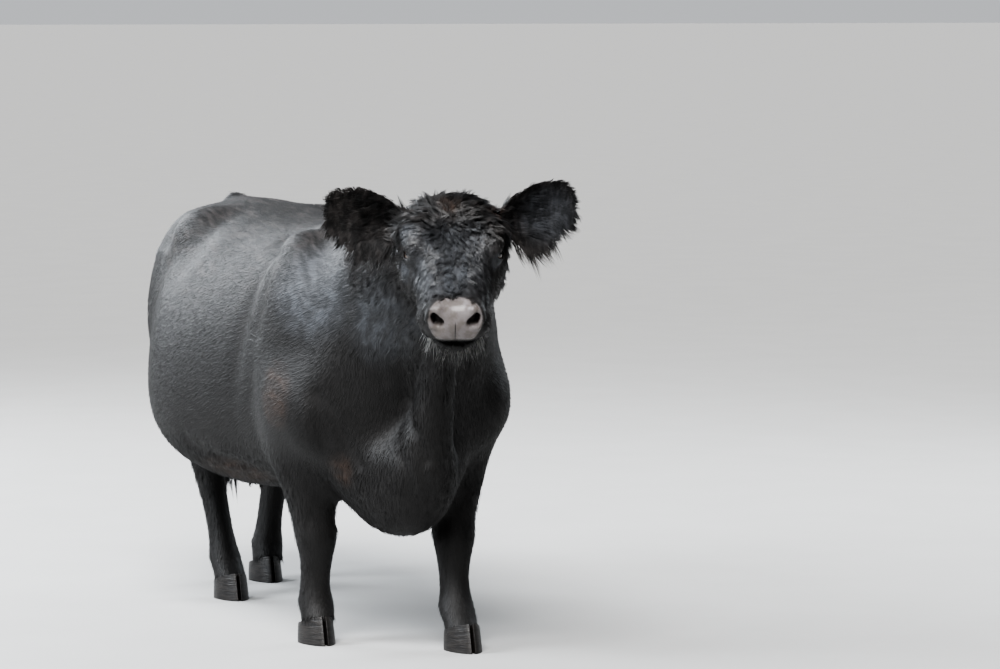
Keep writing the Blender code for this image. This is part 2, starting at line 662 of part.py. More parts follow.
def lock(root, normal, along, length, width, thick, lift, curl, pull=(0, 0, 0)):
    """Closed tapered lock, flat and bent. It leaves the surface, arches and ends in a tip moved by pull."""
    along = unit(along - normal * (along @ normal))
    side = np.cross(normal, along)
    times, wide, high = (0.0, 0.30, 0.62, 0.86, 1.0), (0.80, 1.0, 0.82, 0.46), (1.0, 1.0, 0.80, 0.50)
    path = []
    for t in times:
        rise = lift * math.sin(math.pi * min(1, 0.12 + 0.86 * t)) - 0.25 * thick
        p = root + along * length * t + normal * rise
        path.append(p + side * curl * math.sin(math.pi * t) + np.array(pull) * t * t)
    path[0] = path[0] - normal * thick * 1.6
    points = []
    for i in range(4):
        ahead = unit(path[i + 1] - path[i])
        across = unit(np.cross(normal, ahead))
        up = np.cross(ahead, across)
        w, h = width * wide[i] / 2, thick * high[i] / 2
        points += [path[i] + across * w, path[i] + up * h, path[i] - across * w, path[i] - up * h]
    points.append(path[4])
    faces = [(3, 2, 1, 0)] + [(12 + k, 12 + (k + 1) % 4, 16) for k in range(4)]
    for r in range(3):
        for k in range(4):
            a, b = 4 * r + k, 4 * r + (k + 1) % 4
            faces.append((a, b, b + 4, a + 4))
    return np.array(points), faces


def head_skin(h):
    return hair_core(from_head(h), head_field(from_head(h), 0.0, False))


def hair_flow(u, w):
    """The way the hair of poll and face lies: out from a whorl high on the forehead."""
    away = np.array((u, w - 0.118))
    away = away / (np.linalg.norm(away) + 0.02)
    flow = 0.75 * away + 0.5 * np.array((-away[1], away[0]))
    flow += (0.25 * np.sign(u), 0.35 + (0.5 if w < 0.03 else 0))
    return np.array((*flow, 0.0))


def head_locks(rng):
    """Poll and forehead in rows that run away from the whorl, then the chin."""
    places = [(0.022 * math.cos(a), 0.118 + 0.022 * math.sin(a)) for a in np.arange(5) * 2 * math.pi / 5]
    for number, (w, count, reach) in enumerate(FOREHEAD_ROWS):
        shares = 2 * (np.arange(count) + 0.5 + 0.25 * (-1) ** number) / count - 1
        places += [(reach * share, w) for share in shares]
    made = []
    for u, w in places:
        spot = np.array([[u + rng.uniform(-0.006, 0.006), w + rng.uniform(-0.006, 0.006), 0.03]])
        start = seat(spot, head_skin)
        size = 1.0 if w < 0.13 else 0.8
        made.append((start[0], normal_at(start, head_skin)[0], hair_flow(u, w), 0.082 * size, 0.036 * size,
                     0.014 * size, 0.016 * size, rng.uniform(-0.014, 0.014)))
    for i in range(9):
        u = 0.048 * (2 * i / 8 - 1)
        start = seat(np.array([[u, 0.388 - 6 * u * u + (0.012 if i % 2 else 0), -0.168]]), head_skin)
        along = np.array((0.6 * u / 0.048, 0.6, -0.6))
        curl = rng.uniform(-0.004, 0.004)
        made.append((start[0], normal_at(start, head_skin)[0], along, 0.052, 0.016, 0.007, 0.004, curl))
    shapes = []
    for root, normal, along, *sizes in made:
        points, faces = lock(root, normal, along, *sizes)
        eyes = min(np.linalg.norm(points - EYE * (side, 1, 1), axis=1).min() for side in (-1, 1))
        points = from_head(points)
        in_ears = [ear_place(points, side) for side in (-1, 1)]
        clear = all(e[:, 0].max() < 0.020 or np.abs(e[:, 1]).min() > 0.10 for e in in_ears)
        if clear and eyes > EYE_RADIUS + 0.010:
            shapes.append((points, faces))
    return shapes


def ear_locks(side, rng):
    """Fringe round the rim, longest below near the head, and long hair in the cup."""
    places = []
    for i in range(7):
        places.append((0.058 + 0.020 * i, -0.80, (0.50, -1.0, 0.30), 0.098 - 0.007 * i, 0.028, 0.006))
    for i in range(4):
        places.append((0.085 + 0.032 * i, 0.84, (1.0, 0.55, 0.15), 0.052, 0.028, 0.006))
    for h in (-0.5, 0.3):
        places.append((0.190, h, (1.0, 0.5 * h, 0.1), 0.050, 0.026, 0.004))
    for i in range(3):
        way = (1.0, -0.15 - 0.15 * i, 0.2)
        places.append((0.070 + 0.012 * i, 0.30 - 0.35 * i, way, 0.075, 0.020, 0.010))
    shapes = []
    for number, (l, share, along, length, width, lift) in enumerate(places):
        half, cup = np.interp(l, *EAR_HALF), np.interp(l, *EAR_CUP)
        start = np.array([[l, share * half, 0.004 - cup * (1 - share**2)]])
        normal = normal_at(start, ear_field, 0.002)[0]
        pull = (0, 0, 0.030) if number > 12 else (0, 0, 0)
        length *= rng.uniform(0.85, 1.15)
        curl = rng.uniform(-0.010, 0.010)
        points, faces = lock(start[0], normal, np.array(along), length, width, 0.009, lift, curl, pull)
        points, least = from_ear(points, side), points[:, 0].min()
        if least > 0.033 and head_skin(to_head(points)).min() > 0.004 and whole_field(points).min() > 0.002:
            shapes.append((points, faces))
    return shapes


def tail_locks(rng):
    """Switch: locks that hang from round the end of the tail."""
    x, y = TAIL[-1][:2]
    shapes = []
    for ring, (z, count, radius, length) in enumerate(SWITCH_ROWS):
        for i in range(count):
            a = 2 * math.pi * (i + 0.5 * (ring % 2)) / count + rng.uniform(-0.2, 0.2)
            normal = np.array((math.cos(a), math.sin(a), 0.0))
            root = np.array((x, y, z)) + normal * radius
            down = np.array((0.0, 0.0, -1.0)) - 0.10 * normal
            shapes.append(lock(root, normal, down, length * rng.uniform(0.9, 1.1), 0.038, 0.016, 0.014,
                               rng.uniform(-0.010, 0.010)))
    return shapes


def fuse(obj, shapes):
    """Joins the locks to the node by one union."""
    group = bpy.data.collections.new("locks")
    helpers.children.link(group)
    for points, faces in shapes:
        faced_out(solid("lock", points, faces, group))
    union = obj.modifiers.new("union", "BOOLEAN")
    union.operation, union.solver = "UNION", "EXACT"
    union.operand_type, union.collection = "COLLECTION", group
    apply_modifiers(obj)
    for made in list(group.objects):
        bpy.data.objects.remove(made)
    bpy.data.collections.remove(group)


for old in list(bpy.data.objects):
    bpy.data.objects.remove(old)
body = bpy.data.collections.new("Galloway cow")
helpers = bpy.data.collections.new("cutters")
bpy.context.scene.collection.children.link(body)
bpy.context.scene.collection.children.link(helpers)
helpers.hide_render = True

trunk = flesh("torso", (-0.50, -0.41, 0.22), (0.50, 1.50, 1.28), 0.012, 1750, whole_field)
cutters = [neck_region(GAP), udder_region(GAP), tail_region(GAP)] + [leg_region(foot, GAP) for foot in FEET]
for cutter in cutters:
    boolean(trunk, cutter, "DIFFERENCE")
made_neck = flesh("neck", (-0.42, -0.66, 0.52), (0.42, 0.14, 1.30), 0.010, 900, whole_field)
boolean(made_neck, neck_region(0), "INTERSECT")

head = flesh("head", (-0.36, -0.95, 0.78), (0.32, -0.33, 1.36), 0.005, 2500,
             lambda p: hair_core(p, body_field(p, 0.045)))
boolean(head, region(((-0.6, -1.1, 0.80), (0.6, -0.2, 1.6)), [flipped(NECK_FRONT)], -GAP), "INTERSECT")
for side, word in ((-1, "right"), (1, "left")):
    boolean(head, ear_region(side, GAP), "DIFFERENCE")
    eye_place = from_head(EYE * (side, 1, 1))
    boolean(head, ball("socket", eye_place, EYE_RADIUS + GAP, helpers), "DIFFERENCE")
    ball(f"{word}_eye", eye_place, EYE_RADIUS, body)
    root, tip = from_ear((0, 0, 0), side), from_ear((EAR_LENGTH + 0.02, 0, 0), side)
    low, high = np.minimum(root, tip) - 0.11, np.maximum(root, tip) + 0.11
    ear = flesh(f"{word}_ear", low, high, 0.0042, 420, lambda p: head_field(p, 0.3, False))
    boolean(ear, ear_region(side, 0), "INTERSECT")
    fuse(ear, ear_locks(side, np.random.default_rng(5)))
fuse(head, head_locks(np.random.default_rng(3)))

for foot in FEET:
    x, y = foot_place(foot)
    fore = "fore" in foot
    low = (min(0.08 * np.sign(x), 0.40 * np.sign(x)), (-0.32 if fore else 0.78), 0.02)
    high = (max(0.08 * np.sign(x), 0.40 * np.sign(x)), (0.30 if fore else 1.50), 0.66)
    leg = flesh(f"{foot}leg", low, high, 0.009, 640, whole_field)
    boolean(leg, leg_region(foot, 0), "INTERSECT")
    cut = ((x, y, CORONET_HEIGHT), (0, -CORONET, -1))
    boolean(leg, region(((-0.6, -0.6, -0.1), (0.6, 1.8, 0.9)), [cut], 0), "INTERSECT")
    for inner, word in ((1, "inner"), (-1, "outer")):
        boolean(leg, dewclaw("pit", foot, inner, 0.0150 + GAP, helpers), "DIFFERENCE")
        dewclaw(f"{foot}_{word}_dewclaw", foot, inner, 0.0150, body)
        claw(f"{foot}_{word}_claw", foot, inner)

udder = flesh("udder", (-0.115, 0.83, 0.28), (0.115, 1.23, 0.46), 0.007, 340, whole_field)
boolean(udder, udder_region(0), "INTERSECT")
tail = flesh("tail", (-0.09, 1.38, 0.22), (0.10, 1.55, 1.01), 0.007, 280,
             lambda p: switch_core(p, tube(p, TAIL, TAIL_RADII)))
boolean(tail, tail_region(0), "INTERSECT")
fuse(tail, tail_locks(np.random.default_rng(7)))

looks = {
    "eye": material("eye, dark brown", EYE_COLOUR, 0.05),
    "claw": material("hoof horn, dark", HORN, 0.35),
    "udder": material("udder, brown short hair", UDDER_SKIN, 0.7),
    "": material("coat, black", COAT, 0.6),
}
everything = list(body.objects)
for obj in everything:
    keep_largest(obj)
    obj.data.materials.clear()
    obj.data.materials.append(next(look for word, look in looks.items() if word in obj.name))
places = np.concatenate([np.array([v.co for v in obj.data.vertices]) for obj in everything])
middle = (places.min(0) + places.max(0)) / 2
shift = Vector((-middle[0], -middle[1], -places[:, 2].min()))
for obj in everything:
    obj.data.transform(Matrix.Translation(shift))
    obj.data.update()
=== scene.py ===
import math

import bmesh
import bpy
import numpy as np
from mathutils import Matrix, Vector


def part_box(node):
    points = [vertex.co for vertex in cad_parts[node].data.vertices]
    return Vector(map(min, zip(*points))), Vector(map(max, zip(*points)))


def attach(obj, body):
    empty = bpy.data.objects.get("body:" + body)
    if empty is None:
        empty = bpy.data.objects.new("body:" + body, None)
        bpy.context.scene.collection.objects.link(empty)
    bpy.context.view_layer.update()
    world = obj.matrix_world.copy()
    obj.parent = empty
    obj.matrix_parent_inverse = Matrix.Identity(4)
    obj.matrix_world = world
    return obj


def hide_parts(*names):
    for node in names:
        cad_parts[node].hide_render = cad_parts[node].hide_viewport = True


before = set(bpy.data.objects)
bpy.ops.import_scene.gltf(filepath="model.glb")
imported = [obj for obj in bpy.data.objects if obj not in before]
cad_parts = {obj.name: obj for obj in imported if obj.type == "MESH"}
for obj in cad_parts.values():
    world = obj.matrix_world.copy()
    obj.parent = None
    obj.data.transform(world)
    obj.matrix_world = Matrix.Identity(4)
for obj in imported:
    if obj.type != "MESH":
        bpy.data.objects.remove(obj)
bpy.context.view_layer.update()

import openvdb
from mathutils import Matrix, Vector

GAP = 0.0003
HEAD_YAW = math.radians(19)
HEAD_PITCH = math.radians(38)
POLL = np.array((0.0, -0.515, 1.24))
EYE = np.array((0.103, 0.198, -0.042))
EYE_RADIUS = 0.0205
EAR_ROOT = np.array((0.114, 0.087, -0.052))
CLAW_LENGTH = 0.118
CLAW_WIDTH = 0.050
CORONET_HEIGHT = 0.062
WHORL = 0.118
CORONET = 0.30
FAR = 9.0
BLOCK = 6


def curve_table(knots, values, samples=96):
    """Smooth curve through the values, as a table to read between."""
    slopes = np.gradient(values, knots)
    t = np.linspace(knots[0], knots[-1], samples)
    i = np.clip(np.searchsorted(knots, t) - 1, 0, len(knots) - 2)
    step = knots[i + 1] - knots[i]
    s = (t - knots[i]) / step
    start = (1 + 2 * s) * (1 - s) ** 2 * values[i] + s * (1 - s) ** 2 * step * slopes[i]
    stop = s * s * (3 - 2 * s) * values[i + 1] + s * s * (s - 1) * step * slopes[i + 1]
    return t, start + stop


def blend(a, b, k):
    """Union of two fields, rounded over the distance k."""
    h = np.clip(0.5 + 0.5 * (b - a) / k, 0, 1)
    return b + (a - b) * h - k * h * (1 - h)


class Loft:
    """Sections along one axis: along, mid u, mid v, half u, up v, down v, power up, power down."""

    def __init__(self, rows, end):
        rows = np.array(sorted(rows), float)
        self.low, self.high, self.end = rows[0, 0], rows[-1, 0], end
        self.tables = [curve_table(rows[:, 0], rows[:, c]) for c in range(1, 8)]

    def __call__(self, along, u, v):
        w = np.clip(along, self.low, self.high)
        mid_u, mid_v, a, up, down, power_up, power_down = (np.interp(w, t, x) for t, x in self.tables)
        over = v > mid_v
        b, p = np.where(over, up, down), np.where(over, power_up, power_down)
        x, y = np.abs(u - mid_u) / a + 1e-6, np.abs(v - mid_v) / b + 1e-6
        q = (x**p + y**p) ** (1 / p)
        g = q ** (1 - p) * np.sqrt((x ** (p - 1) / a) ** 2 + (y ** (p - 1) / b) ** 2)
        d = np.maximum((q - 1) / g, -np.minimum(a, b))
        return -blend(-d, -np.maximum(self.low - along, along - self.high), self.end)


def ellipsoid(p, centre, radii, axes=None):
    d = p - centre
    if axes is not None:
        d = d @ np.transpose(axes)
    k = d / radii
    k0 = np.sqrt((k * k).sum(-1)) + 1e-9
    k1 = np.sqrt(((k / radii) ** 2).sum(-1)) + 1e-9
    return k0 * (k0 - 1) / k1


def tube(p, points, radii):
    """Round tube through the points, with a radius at each."""
    best = np.full(len(p), FAR)
    for a, b, ra, rb in zip(points, points[1:], radii, radii[1:]):
        ab = np.subtract(b, a)
        t = np.clip(((p - a) @ ab) / (ab @ ab), 0, 1)
        best = np.minimum(best, np.linalg.norm(p - a - t[:, None] * ab, axis=1) - (ra + (rb - ra) * t))
    return best


def mound(p, centre, radii, height):
    """Change that a soft swelling of this height makes to a field. A negative height is a hollow."""
    return -height * np.exp(-(((p - centre) / radii) ** 2).sum(-1))


def crease(p, points, width, depth):
    """Change that a soft groove along the points makes to a field."""
    return depth * np.exp(-((tube(p, points, [0] * len(points)) / width) ** 2))


def near(p, low, high):
    return np.all((p > low) & (p < high), axis=1)


def mirrored(p):
    return p * np.where(p[:, :1] < 0, (-1, 1, 1), (1, 1, 1))


def sampled(field, low, high, step):
    """The field on a grid of this step. Blocks that the surface can't reach hold only a sign."""
    low = np.asarray(low, float)
    blocks = np.ceil((np.asarray(high) - low) / (step * BLOCK)).astype(int)
    size = BLOCK * step
    centres = np.stack(np.meshgrid(*[np.arange(n) for n in blocks], indexing="ij"), -1).reshape(-1, 3)
    rough = field(low + (centres + 0.5) * size)
    values = np.empty(tuple(blocks) + (BLOCK,) * 3, np.float32)
    values[:] = np.sign(rough).reshape(tuple(blocks) + (1, 1, 1)) * size
    inner = np.stack(np.meshgrid(*[np.arange(BLOCK)] * 3, indexing="ij"), -1).reshape(-1, 3)
    chosen = centres[np.abs(rough) < size * 1.25 + 0.012]
    for i in range(0, len(chosen), 2000):
        part = chosen[i : i + 2000]
        points = (part[:, None, :] * BLOCK + inner[None]).reshape(-1, 3) * step + low
        values[part[:, 0], part[:, 1], part[:, 2]] = field(points).reshape((len(part),) + (BLOCK,) * 3)
    return values.transpose(0, 3, 1, 4, 2, 5).reshape(blocks * BLOCK)


def surface(field, low, high, step):
    """Points and faces of the surface where the field is zero."""
    grid = openvdb.FloatGrid(3 * step)
    grid.copyFromArray(np.clip(sampled(field, low, high, step), -3 * step, 3 * step))
    points, triangles, quads = grid.convertToPolygons()
    faces = [f[::-1] for f in triangles.tolist()] + [f[::-1] for f in quads.tolist()]
    return points * step + np.asarray(low, float), faces


def unit(v):
    return np.asarray(v, float) / np.linalg.norm(v)


def head_axes():
    """Rows: to the left of the head, down the face, out of the face."""
    sy, cy, sp, cp = math.sin(HEAD_YAW), math.cos(HEAD_YAW), math.sin(HEAD_PITCH), math.cos(HEAD_PITCH)
    return np.array(((cy, -sy, 0), (-sy * cp, -cy * cp, -sp), (-sy * sp, -cy * sp, cp)))


HEAD = head_axes()
FACE_UP = np.array((0, -math.sin(HEAD_PITCH), math.cos(HEAD_PITCH)))
FACE_FORWARD = np.array((0, math.cos(HEAD_PITCH), math.sin(HEAD_PITCH)))
EYE_OUT = unit((0.86, 0.40, 0.32))
SLIT = unit(np.array((-0.30, 0.93, 0.22)) - EYE_OUT * (np.array((-0.30, 0.93, 0.22)) @ EYE_OUT))
LID_UP = np.cross(SLIT, EYE_OUT)


def ear_axes(rise, back):
    """Rows: along the ear, up across it, out of its cup."""
    along = unit(np.array((0.90, 0, 0)) + rise * FACE_UP - back * FACE_FORWARD)
    out = 0.90 * FACE_FORWARD + np.array((0.30, 0, 0)) - 0.16 * FACE_UP
    out = unit(out - along * (out @ along))
    up = np.cross(out, along)
    return np.array((along, up if up @ FACE_UP > 0 else -up, out))


EARS = {1: ear_axes(0.38, 0.22), -1: ear_axes(0.25, 0.17)}

# rows: y, half width, top, bottom, widest height, power above, power below
TORSO = [
    (-0.24, 0.170, 0.97, 0.46, 0.72, 2.1, 2.2),
    (-0.15, 0.235, 1.07, 0.41, 0.72, 2.1, 2.3),
    (-0.02, 0.285, 1.132, 0.395, 0.70, 2.1, 2.3),
    (0.12, 0.325, 1.150, 0.40, 0.67, 2.1, 2.3),
    (0.28, 0.358, 1.136, 0.395, 0.65, 2.1, 2.3),
    (0.45, 0.395, 1.128, 0.375, 0.63, 2.1, 2.4),
    (0.65, 0.425, 1.130, 0.362, 0.62, 2.05, 2.4),
    (0.82, 0.420, 1.142, 0.380, 0.64, 2.05, 2.4),
    (0.98, 0.370, 1.154, 0.440, 0.70, 2.1, 2.4),
    (1.12, 0.305, 1.158, 0.52, 0.77, 2.1, 2.3),
    (1.25, 0.245, 1.146, 0.62, 0.83, 2.1, 2.3),
    (1.37, 0.155, 1.085, 0.72, 0.88, 2.1, 2.1),
]
NECK = [
    (-0.56, 0.100, 1.195, 0.98, 1.09, 2.2, 2.2),
    (-0.47, 0.138, 1.212, 0.89, 1.06, 2.2, 2.2),
    (-0.38, 0.172, 1.202, 0.80, 1.02, 2.2, 2.2),
    (-0.28, 0.205, 1.182, 0.68, 0.97, 2.2, 2.2),
    (-0.18, 0.235, 1.162, 0.56, 0.90, 2.2, 2.2),
    (-0.06, 0.255, 1.145, 0.49, 0.82, 2.2, 2.2),
    (0.06, 0.262, 1.128, 0.48, 0.76, 2.2, 2.2),
]
# rows: along the face, half width, top, bottom, widest height, power above, power below
SKULL = [
    (-0.03, 0.078, -0.030, -0.140, -0.070, 2.2, 2.2),
    (0.03, 0.112, 0.004, -0.188, -0.070, 2.3, 2.3),
    (0.09, 0.126, 0.012, -0.216, -0.075, 2.5, 2.4),
    (0.15, 0.126, 0.010, -0.226, -0.080, 2.7, 2.4),
    (0.21, 0.114, 0.002, -0.218, -0.085, 2.7, 2.4),
    (0.27, 0.097, -0.010, -0.196, -0.090, 2.6, 2.4),
    (0.33, 0.086, -0.020, -0.176, -0.092, 2.5, 2.3),
    (0.38, 0.082, -0.028, -0.164, -0.092, 2.4, 2.3),
    (0.42, 0.068, -0.038, -0.146, -0.090, 2.4, 2.3),
]
# rows: height, half width, towards the back, towards the front, middle y, middle x
HIND = [
    (0.98, 0.100, 0.17, 0.22, 1.14, 0.155),
    (0.84, 0.125, 0.21, 0.23, 1.14, 0.172),
    (0.68, 0.124, 0.18, 0.21, 1.13, 0.182),
    (0.56, 0.096, 0.130, 0.130, 1.16, 0.175),
    (0.48, 0.071, 0.085, 0.083, 1.205, 0.163),
    (0.41, 0.053, 0.072, 0.060, 1.24, 0.152),
    (0.34, 0.045, 0.053, 0.046, 1.242, 0.143),
    (0.24, 0.039, 0.043, 0.041, 1.235, 0.132),
    (0.155, 0.041, 0.045, 0.043, 1.225, 0.125),
    (0.110, 0.048, 0.052, 0.048, 1.218, 0.122),
    (0.075, 0.047, 0.046, 0.050, 1.200, 0.120),
    (0.040, 0.050, 0.044, 0.058, 1.188, 0.119),
]
FORE = [
    (0.84, 0.100, 0.15, 0.14, 0.04, 0.190),
    (0.70, 0.118, 0.165, 0.16, 0.02, 0.198),
    (0.58, 0.112, 0.145, 0.125, 0.04, 0.203),
    (0.49, 0.092, 0.105, 0.094, 0.04, 0.200),
    (0.41, 0.074, 0.078, 0.074, 0.03, 0.187),
    (0.34, 0.061, 0.060, 0.061, 0.02, 0.176),
    (0.29, 0.059, 0.055, 0.061, 0.012, 0.169),
    (0.24, 0.048, 0.050, 0.051, 0.010, 0.165),
    (0.19, 0.042, 0.046, 0.043, 0.012, 0.163),
    (0.145, 0.043, 0.047, 0.044, 0.010, 0.162),
    (0.105, 0.050, 0.053, 0.050, 0.002, 0.160),
    (0.073, 0.047, 0.046, 0.050, -0.018, 0.160),
    (0.040, 0.050, 0.044, 0.058, -0.032, 0.160),
]
# each foot: side, distance from the middle plane, y, height where the leg starts to swing
FEET = {
    "right_fore": (-1, 0.160, 0.100, 0.62),
    "left_fore": (1, 0.160, -0.170, 0.62),
    "right_hind": (-1, 0.115, 1.010, 0.78),
    "left_hind": (1, 0.097, 1.345, 0.78),
}
TAIL = [(0, 1.22, 1.10), (0, 1.32, 1.125), (0, 1.400, 1.095), (0, 1.448, 1.02), (0, 1.462, 0.92)]
TAIL += [(0.004, 1.466, 0.80), (0.010, 1.468, 0.66), (0.012, 1.470, 0.55)]
TAIL_RADII = [0.048, 0.042, 0.035, 0.030, 0.027, 0.024, 0.020, 0.018]
# rows of an ear: along it, half height, half thickness, depth of the cup
EAR_ROWS = [
    (-0.03, 0.030, 0.026, 0.000),
    (0.00, 0.036, 0.024, 0.010),
    (0.03, 0.047, 0.012, 0.030),
    (0.07, 0.060, 0.0075, 0.036),
    (0.11, 0.065, 0.0065, 0.030),
    (0.155, 0.060, 0.006, 0.018),
    (0.19, 0.043, 0.006, 0.009),
    (0.215, 0.018, 0.005, 0.003),
]


def body_rows(table):
    return [(y, 0, mid, half, top - mid, mid - low, p, q) for y, half, top, low, mid, p, q in table]


def leg_rows(table, side, foot_x, foot_y, swing):
    """Rows of a leg whose foot is moved. The shift fades out towards the height of swing."""
    dx, dy = foot_x - table[-1][5], foot_y - table[-1][4]
    rows = []
    for z, half, back, front, y, x in table:
        share = max(0.0, 1 - z / swing) ** 0.9
        rows.append((z, side * (x + dx * share), y + dy * share, half, back, front, 2.15, 2.15))
    return rows


torso = Loft(body_rows(TORSO), 0.10)
neck = Loft(body_rows(NECK), 0.06)
skull = Loft([(w, 0, m, a, top - m, m - low, p, q) for w, a, top, low, m, p, q in SKULL], 0.045)
legs = {n: Loft(leg_rows(FORE if "fore" in n else HIND, *foot), 0.02) for n, foot in FEET.items()}
ear_blade = Loft([(w, 0, 0, a, t, t, 2.3, 2.3) for w, a, t, c in EAR_ROWS], 0.012)
EAR_CUP = curve_table(np.array([r[0] for r in EAR_ROWS]), np.array([r[3] for r in EAR_ROWS]))
EAR_HALF = curve_table(np.array([r[0] for r in EAR_ROWS]), np.array([r[1] for r in EAR_ROWS]))


def to_head(p):
    return (p - POLL) @ HEAD.T


def from_head(h):
    return np.asarray(h) @ HEAD + POLL


def ear_place(p, side):
    """A world point in the axes of an ear: along it, up, out of the cup."""
    return (to_head(p) * (side, 1, 1) - EAR_ROOT) @ EARS[side].T


def from_ear(e, side):
    return from_head((EAR_ROOT + np.asarray(e) @ EARS[side]) * (side, 1, 1))


def ear_field(e):
    """One ear in its own axes."""
    l, h, n = e[:, 0], e[:, 1], e[:, 2]
    half, cup = np.interp(l, *EAR_HALF), np.interp(l, *EAR_CUP)
    slope = 2 * cup * h / half**2
    bent = n + cup * (1 - np.clip(h / half, -1.3, 1.3) ** 2)
    return ear_blade(l, h, bent) / np.sqrt(1 + slope**2)


def head_field(p, sockets):
    """The head. Sockets says whether the balls of the eyes are taken out."""
    h = to_head(p)
    m = mirrored(h)
    d = skull(m[:, 1], m[:, 0], m[:, 2])
    d = blend(d, ellipsoid(m, (0.076, 0.125, -0.125), (0.056, 0.115, 0.085)), 0.04)
    d = blend(d, ellipsoid(m, (0.096, 0.172, -0.008), (0.034, 0.050, 0.022)), 0.045)
    tilt = math.radians(12)
    axes = ((1, 0, 0), (0, math.cos(tilt), math.sin(tilt)), (0, -math.sin(tilt), math.cos(tilt)))
    d = blend(d, ellipsoid(m, (0, 0.400, -0.074), (0.066, 0.050, 0.054), axes), 0.022)
    d = blend(d, ellipsoid(m, (0.040, 0.400, -0.046), (0.030, 0.036, 0.028)), 0.018)
    d = blend(d, ellipsoid(m, (0.052, 0.372, -0.108), (0.038, 0.050, 0.030)), 0.022)
    d = blend(d, ellipsoid(m, (0.024, 0.409, -0.099), (0.044, 0.036, 0.027)), 0.018)
    d = blend(d, ellipsoid(m, (0, 0.380, -0.147), (0.057, 0.056, 0.024)), 0.012)
    # nostrils: the wing round each, the slit, and the hole that goes in
    wing = [(0.044, 0.424, -0.024), (0.062, 0.420, -0.034), (0.067, 0.424, -0.054), (0.058, 0.432, -0.072)]
    d = blend(d, tube(m, wing, [0.006, 0.008, 0.009, 0.008]), 0.018)
    slit = [(0.058, 0.432, -0.028), (0.059, 0.444, -0.042), (0.050, 0.452, -0.057), (0.034, 0.456, -0.067)]
    d = -blend(-d, tube(m, slit, [0.005, 0.010, 0.0135, 0.010]), 0.006)
    d = -blend(-d, tube(m, [(0.045, 0.450, -0.058), (0.036, 0.392, -0.052)], [0.0145, 0.009]), 0.006)
    d = -blend(-d, tube(m, [(0.055, 0.440, -0.044), (0.040, 0.396, -0.044)], [0.0095, 0.007]), 0.006)
    # groove of the upper lip and line of the mouth
    d += crease(m, [(0, 0.454, -0.078), (0, 0.446, -0.125)], 0.0035, 0.006)
    lips = [(0, 0.425, -0.131), (0.035, 0.416, -0.132), (0.052, 0.406, -0.133), (0.064, 0.390, -0.132)]
    lips += [(0.073, 0.360, -0.131), (0.077, 0.330, -0.129), (0.084, 0.298, -0.124)]
    d += crease(m, lips, 0.006, 0.015)
    # hollows in front of, behind and under the eye, the cheek ridge and the bridge
    d += mound(m, (0.088, 0.262, -0.052), (0.022, 0.030, 0.020), -0.006)
    d += mound(m, (0.122, 0.105, -0.030), (0.03, 0.028, 0.022), -0.007)
    d += mound(m, (0.094, 0.240, -0.086), (0.02, 0.036, 0.012), 0.006)
    d += mound(m, (0.0, 0.27, -0.006), (0.03, 0.06, 0.03), -0.004)
    # lids: a shell round the eye, with an almond opening
    q = m - EYE
    r = np.linalg.norm(q, axis=1)
    along, up, out = q @ SLIT, q @ LID_UP, q @ EYE_OUT
    opening = np.abs(up + 0.001 + 0.05 * along) - 0.0098 * np.clip(1 - (along / 0.018) ** 2, -1, 1)
    shell = np.maximum(np.abs(r - EYE_RADIUS - 0.0022) - 0.0034, -opening * 0.8)
    d = blend(d, ellipsoid(m, EYE - 0.004 * EYE_OUT, (0.022, 0.030, 0.024)), 0.016)
    d = blend(d, np.where(out > 0, shell, FAR), 0.006)
    d = np.maximum(d, -np.where(out > 0, np.maximum(opening, r - EYE_RADIUS - 0.012), FAR))
    for side in (-1, 1):
        w = near(h * (side, 1, 1), (0.02, -0.2, -0.25), (0.45, 0.35, 0.25))
        if w.any():
            e = (m[w] - EAR_ROOT) @ EARS[side].T
            d[w] = blend(d[w], ear_field(e), 0.016)
    return np.maximum(d, EYE_RADIUS + GAP - r) if sockets else d


